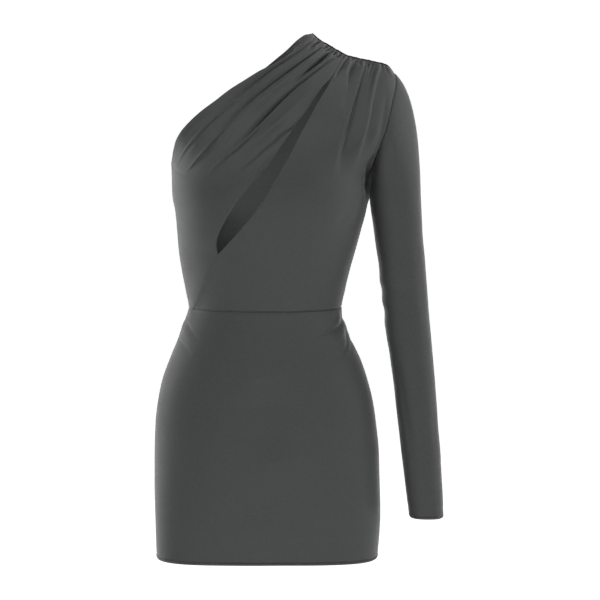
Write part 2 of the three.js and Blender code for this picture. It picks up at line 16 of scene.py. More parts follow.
import bmesh
import bpy
import numpy as np
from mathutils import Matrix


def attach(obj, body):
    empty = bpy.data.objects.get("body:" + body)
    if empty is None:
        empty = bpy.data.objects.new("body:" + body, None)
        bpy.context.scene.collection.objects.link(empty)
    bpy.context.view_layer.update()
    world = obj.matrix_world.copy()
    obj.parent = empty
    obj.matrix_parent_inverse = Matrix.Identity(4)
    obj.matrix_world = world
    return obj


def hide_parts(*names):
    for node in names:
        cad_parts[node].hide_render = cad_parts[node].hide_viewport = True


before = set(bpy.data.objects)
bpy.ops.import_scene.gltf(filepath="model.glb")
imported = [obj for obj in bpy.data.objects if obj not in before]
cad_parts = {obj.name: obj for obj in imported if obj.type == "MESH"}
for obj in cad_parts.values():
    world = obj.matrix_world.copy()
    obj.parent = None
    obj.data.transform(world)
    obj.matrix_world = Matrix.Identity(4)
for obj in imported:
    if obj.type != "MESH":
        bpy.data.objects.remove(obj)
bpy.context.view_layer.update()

LOG = logging.getLogger("dress")
HELD_POINT = np.array([128.0, 0.0, 355.0])
QUARTER = math.pi / 2
FULL = 2 * math.pi
EDGE_CUTS = (0.12, 0.3, 0.6)
FELT_WIDTHS = 3.2
FELT_PLEATS = 2.6
Array = np.ndarray
Line = Sequence[tuple[float, float]]
Edge = Callable[[Array], tuple[Array, Array]]


class Side(Enum):
    """The half of the body that a piece lies on."""

    FRONT = "front"
    BACK = "back"

    @property
    def outwards(self) -> int:
        """The sign of y on this side."""
        return -1 if self is Side.FRONT else 1

    @property
    def other(self) -> "Side":
        """The opposite side."""
        return Side.BACK if self is Side.FRONT else Side.FRONT


class Held(Enum):
    """How a sheet of cloth is held in the finished dress."""

    GATHERED = "gathered"
    STRETCHED = "stretched"


def ease(share: Array) -> Array:
    """Returns a smooth step from 0 to 1 over the shares 0 to 1."""
    t = np.clip(share, 0.0, 1.0)
    return t * t * (3 - 2 * t)


def bell(off: Array, width: float | Array, power: float = 2.0) -> Array:
    """Returns a bump that is 1 where off is 0 and falls away on both sides of it."""
    return np.exp(-((np.abs(off) / width) ** power))


def hermite(t: Array, first: Array, last: Array, leave: Array, arrive: Array) -> Array:
    """Returns a cubic that runs from first to last over t from 0 to 1, with its slopes at both ends."""
    return (
        (2 * t**3 - 3 * t**2 + 1) * first
        + (t**3 - 2 * t**2 + t) * leave
        + (3 * t**2 - 2 * t**3) * last
        + (t**3 - t**2) * arrive
    )


def spaced(values: Sequence[float], share: Array) -> Array:
    """Reads values that are spaced evenly over the shares 0 to 1."""
    return np.interp(share, np.linspace(0, 1, len(values)), values)


def smooth_column(knots: Array, values: Array, at: Array) -> Array:
    """Interpolates one column of a table smoothly and without overshoot.

    Args:
        knots: Rising positions of the table's rows.
        values: The column's values at them.
        at: Positions to read, of any shape.

    Returns:
        The values there, carried on in a straight line past both ends.
    """
    slopes = np.diff(values) / np.diff(knots)
    tangents = np.empty(len(values))
    tangents[0], tangents[-1] = slopes[0], slopes[-1]
    product = slopes[:-1] * slopes[1:]
    total = np.where(slopes[:-1] + slopes[1:] == 0, 1, slopes[:-1] + slopes[1:])
    tangents[1:-1] = np.where(product <= 0, 0, 2 * product / total)
    i = np.clip(np.searchsorted(knots, at, side="left") - 1, 0, len(knots) - 2)
    span = knots[i + 1] - knots[i]
    t = (at - knots[i]) / span
    inside = hermite(t, values[i], values[i + 1], span * tangents[i], span * tangents[i + 1])
    before = values[i] + t * span * tangents[i]
    after = values[i + 1] + (t - 1) * span * tangents[i + 1]
    return np.where(t < 0, before, np.where(t > 1, after, inside))


def dense_line(spots: Line, steps: int = 14) -> Array:
    """Runs a centripetal curve through a few spots.

    Args:
        spots: Points (x, z) in millimetres.
        steps: Points of the result for each span.

    Returns:
        The curve as an array of points.
    """
    p = np.asarray(spots, float)
    p = np.vstack([2 * p[0] - p[1], p, 2 * p[-1] - p[-2]])
    out = []
    for k in range(1, len(p) - 2):
        q = p[k - 1 : k + 3]
        gaps = np.sqrt(np.maximum(np.linalg.norm(np.diff(q, axis=0), axis=1), 1e-6))
        a, b, c = gaps
        start = (q[1] - q[0]) / a - (q[2] - q[0]) / (a + b) + (q[2] - q[1]) / b
        end = (q[2] - q[1]) / b - (q[3] - q[1]) / (b + c) + (q[3] - q[2]) / c
        t = np.linspace(0, 1, steps, endpoint=False)[:, None]
        out.append(hermite(t, q[1], q[2], start * b, end * b))
    return np.vstack(out + [p[-2:-1]])


def lengths(line: Array) -> Array:
    """Returns the length of a line from its start to each of its points."""
    return np.concatenate([[0], np.cumsum(np.linalg.norm(np.diff(line, axis=0), axis=1))])


def along_line(line: Array, share: Array) -> tuple[Array, Array]:
    """Returns x and z at shares of a line's length."""
    length = lengths(line)
    at = np.clip(share, 0, 1) * length[-1]
    return np.interp(at, length, line[:, 0]), np.interp(at, length, line[:, 1])


def nearest_on(line: Array, x: Array, z: Array) -> tuple[Array, Array, Array]:
    """Measures points against a line, all seen from the front.

    Args:
        line: Points (x, z) of the line.
        x: Points' x.
        z: Points' z.

    Returns:
        The distance to the line, the share of its length at the nearest spot, and the distance's
        sign, positive towards the sleeve and the hem.
    """
    length = lengths(line)
    best = np.full(x.shape, np.inf)
    share = np.zeros(x.shape)
    sign = np.ones(x.shape)
    for k in range(len(line) - 1):
        step = line[k + 1] - line[k]
        rx, rz = x - line[k, 0], z - line[k, 1]
        at = np.clip((rx * step[0] + rz * step[1]) / (step @ step), 0, 1)
        far = np.hypot(rx - at * step[0], rz - at * step[1])
        closer = far < best
        best = np.where(closer, far, best)
        share = np.where(closer, (length[k] + at * (length[k + 1] - length[k])) / length[-1], share)
        sign = np.where(closer, np.where(step[0] * rz - step[1] * rx < 0, -1.0, 1.0), sign)
    return best, share, sign


@dataclass(frozen=True)
class Level:
    """A level section of the body: half widths, depths and how boxy it is."""

    z: float
    left: float
    right: float
    front: float
    back: float
    square: float


@dataclass(frozen=True)
class Crease:
    """A fold that the cloth is pulled into, along a line seen from the front.

    rises are its heights outwards, spaced evenly along its length. below and above are its widths on
    the side of the sleeve and hem and on the other side. sharp is 1 for a cusp and 2 for a round fold.
    """

    path: Line
    rises: tuple[float, ...]
    below: float
    above: float
    sharp: float = 2.0

    def reach(self) -> float:
        """Returns how far from the line the fold can be felt."""
        return FELT_WIDTHS * max(self.below, self.above)

    def profile(self, off: Array, share: Array) -> Array:
        """Returns heights at signed distances off the line, positive below it."""
        width = np.where(off > 0, self.below, self.above)
        return spaced(self.rises, share) * bell(off, width, self.sharp)

    def height(self, x: Array, z: Array) -> Array:
        """Returns how far the fold lifts each point."""
        line = dense_line(self.path, 6)
        low, high = line.min(axis=0) - self.reach(), line.max(axis=0) + self.reach()
        near = (x > low[0]) & (x < high[0]) & (z > low[1]) & (z < high[1])
        out = np.zeros(x.shape)
        if near.any():
            far, share, sign = nearest_on(line, x[near], z[near])
            out[near] = self.profile(far * sign, share)
        return out


@dataclass(frozen=True)
class Pleat(Crease):
    """A fold with a crest along its line, a valley above the crest and a lee below it.

    rises, valley and lee are the crest's heights and the two depths, spaced evenly along the line.
    offset is the distance from the crest to the bottom of the valley and the lee, near their width
    towards the crest and far their width away from it, at the start and at the end of the line.
    """

    valley: tuple[float, ...] = (0.0, 0.0)
    lee: tuple[float, ...] = (0.0, 0.0)
    offset: float = 2.0
    near: float = 1.8
    far: tuple[float, float] = (6.0, 9.0)
    cusp: float = 1.35

    def reach(self) -> float:
        """Returns how far from the line the fold can be felt."""
        return self.offset + FELT_PLEATS * max(self.far)

    def hollow(self, out: Array, share: Array) -> Array:
        """Returns the form of a valley at distances past its bottom, away from the crest."""
        width = np.where(out > 0, spaced(self.far, share), self.near)
        return bell(out, width, self.cusp)

    def profile(self, off: Array, share: Array) -> Array:
        """Returns heights at signed distances off the line, positive below it."""
        crest = super().profile(off, share)
        above = spaced(self.valley, share) * self.hollow(-off - self.offset, share)
        below = spaced(self.lee, share) * self.hollow(off - self.offset, share)
        return crest - above - below


@dataclass
class BodyForm:
    """The smooth form of the dress below its folds.

    A spot is addressed by turn, the angle from the middle of the front or back towards the sleeve,
    and rise, which is the height and, near the shoulder, the length over its rounding.
    """

    levels: tuple[Level, ...] = (
        Level(-363, 160, 163, 85, 98, 3.9),
        Level(-300, 162, 167, 88, 106, 3.4),
        Level(-256, 163, 166, 90, 113, 3.0),
        Level(-212, 162.5, 164.5, 91, 119, 2.7),
        Level(-168, 161, 160, 90, 118, 2.6),
        Level(-138, 157.5, 155.5, 88, 112, 2.5),
        Level(-108, 151.5, 148, 86, 104, 2.4),
        Level(-79, 141, 138, 84, 95, 2.35),
        Level(-50, 129, 124.5, 82, 86, 2.3),
        Level(-20, 118.5, 113, 81, 79, 2.3),
        Level(0, 112, 110, 82, 77, 2.3),
        Level(23, 116, 114.5, 86, 78, 2.3),
        Level(52, 121.5, 121.5, 93, 82, 2.3),
        Level(81, 125.5, 129.5, 101, 88, 2.3),
        Level(110, 127.5, 137, 110, 94, 2.45),
        Level(139, 130, 144.5, 116, 99, 2.5),
        Level(157, 133.5, 147.5, 118.5, 102, 2.5),
        Level(175, 134.8, 148.5, 119, 104, 2.45),
        Level(190, 135, 150, 117, 105, 2.4),
        Level(211, 136, 164, 112, 105, 2.3),
        Level(229, 141, 180, 105, 104, 2.3),
        Level(250, 156, 198, 95, 102, 2.3),
        Level(270, 172, 208, 85, 99, 2.3),
        Level(300, 190, 214, 73, 92, 2.3),
        Level(330, 200, 216, 63, 82, 2.3),
        Level(360, 206, 218, 54, 68, 2.3),
        Level(395, 210, 220, 46, 54, 2.3),
    )
    ridge_line: tuple[tuple[float, float], ...] = (
        (-210, 520), (-60, 455), (20, 422), (65, 392), (78, 381), (92, 373), (104, 366),
        (115, 360), (132, 355.5), (149, 352), (161, 349.3), (171, 346.8), (178, 342.5),
        (184.5, 336), (194, 325), (210, 290), (222, 200),
    )
    rounding: float = 95.0
    highest: float = 380.0
    neck_end: float = 65.3
    shoulder_end: float = 184.5
    seam_share: float = 0.36

    def __post_init__(self) -> None:
        """Lays the tables out as columns."""
        names = ("left", "right", "front", "back", "square")
        self.knots = np.array([level.z for level in self.levels], float)
        self.columns = {n: np.array([getattr(level, n) for level in self.levels]) for n in names}
        self.ridge_table = np.array(self.ridge_line, float)

    @property
    def seam_x(self) -> float:
        """Where the seam between the two front pieces meets the shoulder."""
        return self.neck_end + self.seam_share * (self.shoulder_end - self.neck_end)

    def ridge(self, x: Array) -> Array:
        """Returns the height of the shoulder ridge."""
        return smooth_column(self.ridge_table[:, 0], self.ridge_table[:, 1], x)

    def section(self, name: str, z: Array) -> Array:
        """Returns one size of the level section at each height."""
        return smooth_column(self.knots, self.columns[name], z)

    def half(self, across: Array, z: Array) -> Array:
        """Returns the half width on the sleeve's side where across is positive, else on the other."""
        return np.where(across > 0, self.section("right", z), self.section("left", z))

    def rise_of(self, x: Array, z: Array) -> Array:
        """Returns the rise of spots seen from the front."""
        ridge = self.ridge(x)
        below = (ridge - z) / self.rounding
        bend = np.arccos(np.clip(1 - np.maximum(0, below), -1, 1))
        return np.where(below >= 1, z, ridge + self.rounding * (QUARTER - 1 - bend))

    def level_depth(self, side: Side, x: Array, z: Array) -> Array:
        """Returns the depth of the level sections, without the shoulder's rounding."""
        share = np.minimum(1, np.abs(x) / self.half(x, z))
        square = self.section("square", z)
        return self.section(side.value, z) * (1 - share**square) ** (1 / square)

    def depth(self, side: Side, x: Array, z: Array) -> Array:
        """Returns how far the smooth form stands out of the plane of the side seams."""
        below = np.clip((self.ridge(x) - z) / self.rounding, 0, 1)
        return self.level_depth(side, x, z) * np.sin(np.arccos(1 - below))

    def turn_of(self, side: Side, x: Array, z: Array) -> Array:
        """Returns the turn of spots seen from the front."""
        return np.arctan2(x, self.level_depth(side, x, z))

    def point(self, side: Side, turn: Array, rise: Array) -> Array:
        """Returns points of the smooth surface.

        Args:
            side: Front or back.
            turn: Angles from the middle of that side.
            rise: Lengths up the surface.

        Returns:
            An array of the same shape with x, y and z added.
        """
        z = np.minimum(rise, self.highest)
        for _ in range(6):
            square = self.section("square", z)
            across = (np.abs(np.sin(turn)) / self.half(turn, z)) ** square
            out = (np.abs(np.cos(turn)) / self.section(side.value, z)) ** square
            radius = (across + out) ** (-1 / square)
            x = radius * np.sin(turn)
            start = self.ridge(x) - self.rounding
            bend = QUARTER - np.maximum(0, (rise - start) / self.rounding)
            z = np.where(rise <= start, rise, start + self.rounding * np.cos(bend))
        return np.stack([x, side.outwards * radius * np.cos(turn) * np.sin(bend), z], axis=-1)

    def normal(self, side: Side, turn: Array, rise: Array) -> Array:
        """Returns the outward directions of the smooth surface."""
        across = self.point(side, turn + 0.004, rise) - self.point(side, turn - 0.004, rise)
        up = self.point(side, turn, rise + 0.6) - self.point(side, turn, rise - 0.6)
        cross = np.cross(across, up)
        cross /= np.linalg.norm(cross, axis=-1, keepdims=True)
        return -side.outwards * cross


@dataclass(frozen=True)
class PictureView:
    """The photograph's viewpoint, which carries spots read off it onto the front of the form."""

    eye: tuple[float, float, float] = (49.3, -2700.0, 298.7)
    pitch: float = math.radians(6.1305)
    middle: float = 300.0
    focal: float = 1872.8

    def trace(self, form: BodyForm, spots: Line) -> Line:
        """Returns x and z, in millimetres, of spots given in the picture's units from its top left."""
        across, down = np.asarray(spots, float).T
        sight = self.pitch - np.arctan((self.middle - down) / self.focal)
        y = np.zeros_like(across)
        for _ in range(16):
            away = y - self.eye[1]
            z = self.eye[2] - away * np.tan(sight)
            depth = away * math.cos(self.pitch) - (z - self.eye[2]) * math.sin(self.pitch)
            x = self.eye[0] + (across - self.middle) * depth / self.focal
            y = (y - form.depth(Side.FRONT, x, z)) / 2
        return tuple(zip(x.tolist(), z.tolist()))


@dataclass
class FoldPlan:
    """All folds of the body's cloth: long drape folds, gathers, drags and faint waves.

    The folds of the front are placed on spots of the photograph, in its own units. Those of
    the back are placed in millimetres from the middle of the waist. Within calm of the ridge all of
    them are levelled out. tuck_depth multiplies the tucks' rises, and press is how far the side seam
    is pressed out against the sleeve, between press_low and press_high. The gathers of the hidden side
    have random lengths and rises. gather_inset keeps them off the ends of the shoulder seam, and
    gather_leans holds how many degrees they lean at some places across.
    """

    form: BodyForm
    view: PictureView = PictureView()
    gathers: int = 26
    gather_length: tuple[float, float] = (9.0, 26.0)
    gather_rise: tuple[float, float] = (1.2, 2.6)
    gather_inset: tuple[float, float] = (8.0, 4.0)
    gather_leans: Line = ((70, 57), (93, 48), (113, 36), (126, 23), (143, 18), (159, 9), (180, -8))
    seed: int = 11
    calm: float = 1.3
    tuck_depth: float = 2.0
    wave: float = 0.35
    side_reach: float = 7.0
    press: float = 1.8
    press_low: float = 146.0
    press_high: float = 206.0
    press_reach: float = 0.022
    back_phase: float = 1.7

    drape: tuple[Crease, ...] = (
        # The two long pleats next to the neckline.
        Pleat(
            ((316, 39), (303, 50), (289, 60), (272, 71.5), (261, 80.5), (249, 90), (234, 102.5),
             (218, 115.5), (204, 128), (194, 139), (186, 149), (178.5, 162), (175, 170)),
            (0.3, 0.7, 0.9, 1.0, 1.1, 1.2, 1.2, 1.3, 1.4, 1.4, 1.0, 0.3, 0), 1.8, 1.8, 2.0,
            valley=(1.6, 2.4, 2.8, 3.0, 3.0, 2.6, 1.8, 1.0, 0.3, 0, 0, 0, 0),
            lee=(0, 0, 0, 0, 0, 0, 0.3, 1.2, 2.4, 2.8, 1.8, 0.4, 0),
            offset=1.6, near=1.1, far=(1.3, 8), cusp=1.25,
        ),
        Pleat(
            ((322, 48), (311, 56.5), (300, 64.5), (289, 72.5), (278, 81), (267, 89.5), (256, 98.5),
             (245, 108.5), (235, 118.5), (225, 128.5), (215, 139), (205, 150), (196, 160.5), (187, 172)),
            (0.6, 0.8, 0.9, 0.9, 1.0, 1.0, 1.1, 1.2, 1.3, 1.4, 1.5, 1.5, 1.2, 0), 1.8, 1.8, 2.0,
            valley=(3.2, 3.8, 3.8, 3.8, 3.8, 3.8, 3.6, 3.2, 2.6, 1.6, 0.5, 0, 0, 0),
            lee=(0, 0, 0, 0, 0, 0, 0, 0.3, 1.0, 2.2, 3.0, 3.0, 1.8, 0),
            offset=1.4, near=0.9, far=(0.7, 7), cusp=1.2,
        ),
        # The black fold under the shoulder and the strip between it and the next one.
        Crease(
            ((332, 50), (326, 55.5), (320, 61), (314, 66), (308, 71), (301, 77), (291, 86)),
            (-5, -8, -9, -7, -3, -1, 0), 1.5, 2.4, 1.3,
        ),
        Crease(
            ((334, 53), (322, 63.5), (310, 73), (300, 80.5), (290, 88.5), (280, 97), (268, 108),
             (256, 120), (245, 132)),
            (1.2, 1.6, 1.5, 1.4, 1.2, 1.2, 1.2, 0.8, 0), 2, 2.6,
        ),
        Pleat(
            ((338, 56.5), (330, 62.5), (320, 70.5), (310, 78.5), (300, 86.5), (288, 97), (277, 108),
             (266, 119.5), (255, 131), (245, 141), (236, 149), (226, 157), (215, 167), (205, 180)),
            (0.4, 0.5, 0.5, 0.6, 0.8, 1.0, 1.3, 1.6, 1.9, 2.2, 2.4, 2.2, 1.4, 0), 3.2, 2.6, 2.0,
            valley=(1.6, 2.4, 2.8, 3.2, 3.8, 4.8, 5.4, 5.2, 4, 2.4, 1.0, 0.3, 0, 0),
            lee=(0, 0, 0, 0, 0, 0, 0, 0.6, 1.6, 2.8, 3.2, 2.6, 1.2, 0),
            offset=2.2, near=1.2, far=(1.0, 5),
        ),
        # The soft hollow and the lit bank that end at the slit.
        Crease(
            ((316, 84), (306, 94), (294, 106), (283, 116), (270, 128), (256, 140), (243, 152), (228, 168)),
            (0, -1.2, -2.2, -2.8, -2.8, -2.2, -1.6, 0), 6, 6, 1.8,
        ),
        Pleat(
            ((299, 119), (291, 126), (281, 133), (273, 140.5), (263, 149), (254, 157), (242, 168),
             (230, 178), (219, 188)),
            (1.6, 2.4, 2.7, 2.6, 2.4, 2.0, 1.4, 0.8, 0), 2.4, 7, 1.8,
            lee=(2, 3, 3.2, 3, 2.6, 2, 1.3, 0.6, 0), offset=2.8, near=1.8, far=(5, 6),
        ),
        Crease(((279, 146), (269, 156), (260, 167), (251, 180)), (0, 1.0, 1.2, 0), 2.4, 3),
        # Fine folds between them.
        Crease(((302, 52), (280, 66.5), (258, 81), (236, 97)), (0, -0.7, -0.8, 0), 2, 5, 1.4),
        Crease(((306, 63), (288, 76), (268, 92), (250, 108)), (0, -0.6, -0.9, 0), 3, 4, 1.5),
        Crease(((292, 79), (276, 93), (262, 107), (249, 121)), (0, -0.8, -1.1, 0), 4, 5, 1.6),
        Crease(((247, 118), (235, 130), (222, 144), (210, 158)), (0, -0.8, -1.0, 0), 4, 5, 1.6),
        Crease(((213, 123), (203, 134), (195, 145), (187, 158)), (0, 0.8, 1.0, 0), 4, 5),
        Crease(((214, 110), (200, 121), (190, 131), (183, 142)), (0, -1.0, -1.0, 0), 3.5, 4, 1.6),
        Crease(((205, 122), (196, 132), (188, 143), (181, 156)), (0, -0.5, -0.6, 0), 3, 3, 1.6),
        Crease(((232, 152), (222, 160), (212, 171), (203, 184)), (0, -0.8, -0.8, 0), 4, 4, 1.6),
        Crease(((238, 178), (228, 186), (217, 195)), (0, -0.8, 0), 4, 5, 1.7),
    )
    shoulder: tuple[Crease, ...] = (
        # Folds that hang from the gathered shoulder, on the sleeve's side of the slit.
        Crease(
            ((356.5, 59), (353, 65), (350.5, 71), (348.8, 80), (347.5, 92)),
            (-4.5, -6, -4.6, -2.2, 0), 5, 1.6, 1.3,
        ),
        Crease(((348, 82), (346, 96), (343.5, 110)), (0, -0.9, 0), 5, 4),
        Pleat(
            ((365.3, 60), (363, 70), (360.6, 80), (357, 92), (353.8, 102), (350.8, 112), (347, 124),
             (343.2, 138), (339.8, 150), (337, 165), (335, 178)),
            (0.4, 0.6, 0.7, 0.8, 0.9, 1.0, 1.0, 0.8, 0.4, 0.1, 0), 2.4, 6, 2.0,
            lee=(2, 2.6, 3.6, 4.8, 6, 6.8, 7, 6.2, 4.2, 1.8, 0), offset=6.0, near=4.2, far=(6, 11), cusp=1.6,
        ),
        Crease(
            ((366.3, 60), (364.1, 70), (361.8, 80), (358.3, 92), (355.1, 102), (352.1, 112), (348.4, 124),
             (344.6, 138)),
            (-3, -3.6, -4.6, -5.4, -5.6, -5, -3, 0), 2.4, 1.3, 1.3,
        ),
        Pleat(
            ((379.3, 62), (377.2, 71), (375.2, 79), (373, 90), (371, 100), (369, 112), (366.5, 124),
             (363, 136), (359.5, 148), (356, 160), (352, 172), (347, 186)),
            (1.8, 2.2, 2.4, 2.6, 2.8, 2.8, 2.8, 2.6, 2.0, 1.2, 0.4, 0), 3.8, 6.5, 1.7,
            valley=(3, 3, 2.4, 1.4, 0.8, 0.4, 0.2, 0, 0, 0, 0, 0),
            lee=(0, 1, 2, 2.6, 2.8, 2.4, 1.6, 0.8, 0, 0, 0, 0), offset=4.5, near=3, far=(4.5, 7), cusp=1.6,
        ),
        Crease(((374, 60), (371.8, 65), (369.8, 72), (368.5, 80)), (-3, -2.2, -1, 0), 1.7, 1.7, 1.4),
        Crease(((379, 120), (376, 134), (372, 146), (367.5, 156)), (0.3, 1.2, 1.5, 0.8), 4.5, 5),
        Crease(((386.5, 92), (385, 110), (382.3, 130), (379.5, 145)), (-0.3, -1.4, -1.8, -1), 3, 4, 1.7),
        Crease(((385.5, 65), (388.5, 69), (392, 75)), (1.2, 1.4, 0.5), 2.4, 2.4),
        # Cloth folded in under the arm.
        Crease(
            ((378.5, 151), (374, 158.5), (370.5, 165), (368.5, 173), (367.5, 181), (367, 189), (366.5, 195)),
            (-2, -7, -10, -10, -9, -5, -1), 3, 2.6, 1.8,
        ),
        Crease(((364.8, 172), (364.2, 181), (362, 189), (360, 196)), (0.8, 1.7, 1.4, 0.4), 1.6, 1.4),
        Crease(((361.5, 178), (362, 186), (360, 193)), (-1.6, -2.2, 0), 1.6, 1.6, 1.5),
        Pleat(
            ((362, 189), (359.5, 199), (357, 208), (354, 217), (350, 228)),
            (1.2, 1.8, 1.7, 1.1, 0), 2.2, 6, 1.8,
            lee=(0.8, 1.4, 1.2, 0.6, 0), offset=2.6, near=1.8, far=(4, 4),
        ),
        Crease(((350, 208), (344, 217), (336, 229)), (0, -0.7, 0), 5, 5),
    )
    tucks: tuple[Crease, ...] = (
        # Short tucks in the gathers, right under the roll.
        Crease(((319.5, 41), (314, 45.5), (308, 50)), (-3, -2, 0), 1.5, 2.2, 1.4),
        Crease(((329, 44.5), (325.5, 47), (321, 49.5)), (-2.6, -1.8, 0), 1.3, 1.4, 1.5),
        Crease(((332, 46.8), (328, 49), (323, 52)), (-2.4, -1.8, 0), 1.3, 1.4, 1.5),
        Crease(((338, 50), (335, 53), (331, 56)), (-3.2, -2.4, 0), 1.5, 1.5, 1.5),
        Crease(((335, 48.5), (333, 51), (330.5, 53)), (-2.2, -1.8, 0), 1.1, 1.1, 1.5),
        Crease(((342, 53), (338.5, 56), (334, 59)), (-2.8, -2, 0), 1.3, 1.5, 1.5),
        Crease(((345, 54.5), (343, 57.5), (340, 61)), (-2.4, -1.6, 0), 1.3, 1.4, 1.5),
        Crease(((349, 56), (346.5, 60), (342, 67), (336, 76)), (-2.6, -2, -1.6, -0.6), 1.5, 1.5, 1.4),
        Crease(((354, 57), (351.5, 59.5), (349, 63)), (-2.4, -1.4, 0), 1.3, 1.4, 1.5),
        Crease(((361.5, 58.5), (360.5, 62), (359, 67)), (-2.2, -1.4, 0), 1.4, 1.6, 1.5),
        Crease(((369.3, 59.5), (368.8, 63), (368, 68)), (-2.6, -1.6, 0), 1.3, 1.3, 1.5),
        Crease(((381.5, 62.5), (382.2, 66), (382.5, 71)), (-2, -1.2, 0), 1.5, 1.5, 1.5),
        Crease(((384.6, 63.5), (386, 67.5), (388, 73)), (-1.8, -1.2, 0), 1.4, 1.4, 1.5),
        Crease(((324, 42.5), (320, 45), (316, 48)), (-1.4, -1.0, 0), 1.3, 1.3, 1.5),
        Crease(((352, 56.5), (349, 64), (343, 76)), (0.6, 0.6, 0), 2, 2),
    )
    hips: tuple[Crease, ...] = (
        # The panel below the slit turns outwards along its seam.
        Crease(
            ((215, 259), (209.5, 271), (205.3, 281), (201, 290.5), (197, 301)),
            (0, 0.5, 1.1, 1.4, 1.2), 5, 13,
        ),
        # Drag creases from the waist over the hips, the sleeve's side first.
        Crease(
            ((341.5, 311), (342.8, 318), (341.5, 324), (337.5, 328.5), (331, 331.5), (323, 334), (313, 336)),
            (-1.6, -2.8, -3.2, -2.8, -2, -1.1, 0), 2.8, 2.2, 1.4,
        ),
        Crease(
            ((338.3, 312), (338.8, 318), (336.5, 323.5), (331.5, 327.5), (324, 330.5)),
            (0.8, 1.3, 1.3, 0.9, 0), 2, 3,
        ),
        Crease(((344, 324), (342.5, 333), (337, 339), (329, 343)), (1.4, 1.6, 1.1, 0), 5, 5),
        Crease(
            ((345.3, 328), (347.4, 336), (348.2, 342), (346.5, 348), (343, 353.5), (338.5, 358.5),
             (332, 363)),
            (-1.4, -2.2, -2.4, -2, -1.3, -0.6, 0), 2.4, 3, 1.4,
        ),
        Crease(((351.5, 341), (352, 347), (350, 352), (346.5, 357)), (-1.5, -2.2, -1.4, 0), 2, 2, 1.5),
        Crease(
            ((185, 320), (188.5, 326), (191.5, 331), (195, 336), (201, 342)),
            (-1.2, -1.4, -1.1, -0.6, 0), 2.4, 2.8, 1.5,
        ),
        Crease(((183, 326), (185.5, 332), (188.5, 338), (193, 345)), (0.6, 0.8, 0.5, 0), 4, 4),
        Crease(((180, 341), (184, 346), (187.5, 350.5), (192, 356)), (-1.2, -1.4, -0.9, 0), 2.8, 3, 1.5),
        Crease(((191, 308), (191.3, 314), (190, 319)), (0.8, 1.1, 0.7), 4, 4),
        # Soft hollows of the stretched skirt.
        Crease(((262, 378), (264, 404), (268, 432), (272, 462)), (0, -4.2, -4, 0), 34, 34),
        Crease(((215, 526), (266, 534), (316, 526)), (0, 3.0, 0), 26, 30),
    )
    behind: tuple[Crease, ...] = (
        # Hidden side: the same kinds of fold, fanning from the gathers to the far side seam.
        Pleat(
            ((74, 384), (42, 352), (6, 322), (-32, 290), (-68, 258), (-100, 226)),
            (0.4, 0.8, 1.0, 1.2, 1.2, 0), 1.8, 1.8, 2.0,
            valley=(1.6, 2.4, 2.2, 1.4, 0.4, 0), lee=(0, 0, 0.4, 1.4, 1.8, 0),
            offset=2.2, near=1.8, far=(3, 8),
        ),
        Pleat(
            ((88, 375), (56, 338), (18, 300), (-22, 262), (-58, 226), (-86, 194)),
            (0.6, 0.9, 1.1, 1.3, 1.2, 0), 1.8, 2, 2.0,
            valley=(3.6, 4.4, 4, 2.6, 1, 0), lee=(0, 0, 0.4, 1.4, 1.6, 0), offset=2.4, near=1.8, far=(2.6, 8),
        ),
        Pleat(
            ((104, 366), (80, 328), (48, 286), (12, 244), (-22, 208), (-50, 180)),
            (0.5, 0.8, 1.2, 1.7, 1.6, 0), 2.8, 2.4, 2.0,
            valley=(3, 4.6, 5.4, 4, 1.6, 0), lee=(0, 0, 0.3, 1.3, 1.6, 0), offset=2.8, near=2, far=(2.6, 7),
        ),
        Pleat(
            ((122, 358), (108, 322), (86, 274), (60, 232), (36, 198)),
            (0.5, 1, 1.5, 1.5, 0), 2.4, 3, 2.0,
            valley=(2.6, 3.2, 3, 1.6, 0), lee=(0, 0.4, 1.2, 1.2, 0), offset=2.6, near=1.9, far=(3.4, 8),
        ),
        Pleat(
            ((140, 353), (131, 316), (116, 266), (98, 220), (84, 186)),
            (0.6, 1.2, 1.6, 1.4, 0), 2, 3, 2.0, lee=(2.8, 4, 4.2, 2.2, 0), offset=2.2, near=1.7, far=(4, 9),
        ),
        Pleat(
            ((158, 349), (153, 314), (146, 276), (136, 240), (124, 204)),
            (1.2, 1.8, 2.4, 2, 0), 2.6, 4, 1.8,
            valley=(2.6, 1.8, 0.6, 0, 0), lee=(0, 1, 1.2, 0.4, 0), offset=3, near=1.9, far=(3.6, 6),
        ),
        Crease(((169, 347), (166, 316), (160, 284)), (-2.4, -1.6, 0), 2.4, 2.4, 1.4),
        Crease(((155, 226), (149, 206), (144, 186), (136, 156)), (1, 2.2, 1.8, 0), 4, 6, 1.8),
        Crease(((-114, -16), (-100, -27), (-82, -33), (-60, -36)), (-2.4, -2.4, -1.4, 0), 3.2, 2.6, 1.4),
        Crease(((-122, -44), (-106, -56), (-86, -64)), (-2.2, -1.8, 0), 3.2, 3, 1.4),
        Crease(((113, -17), (98, -27), (78, -34), (56, -37)), (-2.6, -2.4, -1.4, 0), 3.2, 2.6, 1.4),
        Crease(((124, -46), (108, -58), (86, -66)), (-2.4, -2, 0), 3.2, 3, 1.4),
        Crease(((-112, -30), (-98, -42), (-80, -50)), (1.2, 1.2, 0), 4, 4),
        Crease(((116, -31), (100, -43), (82, -52)), (1.3, 1.2, 0), 4, 4),
        Crease(((-40, 20), (-10, 14), (24, 15), (48, 22)), (0, -1.2, -1.1, 0), 6, 5, 1.6),
        Crease(((44, 44), (14, 37), (-20, 39)), (0, -0.9, 0), 6, 5, 1.6),
        Crease(((-112, 34), (-92, 26), (-66, 23)), (-1, -1, 0), 6, 5, 1.6),
        Crease(((114, 36), (94, 28), (70, 25)), (-1, -1, 0), 6, 5, 1.6),
    )

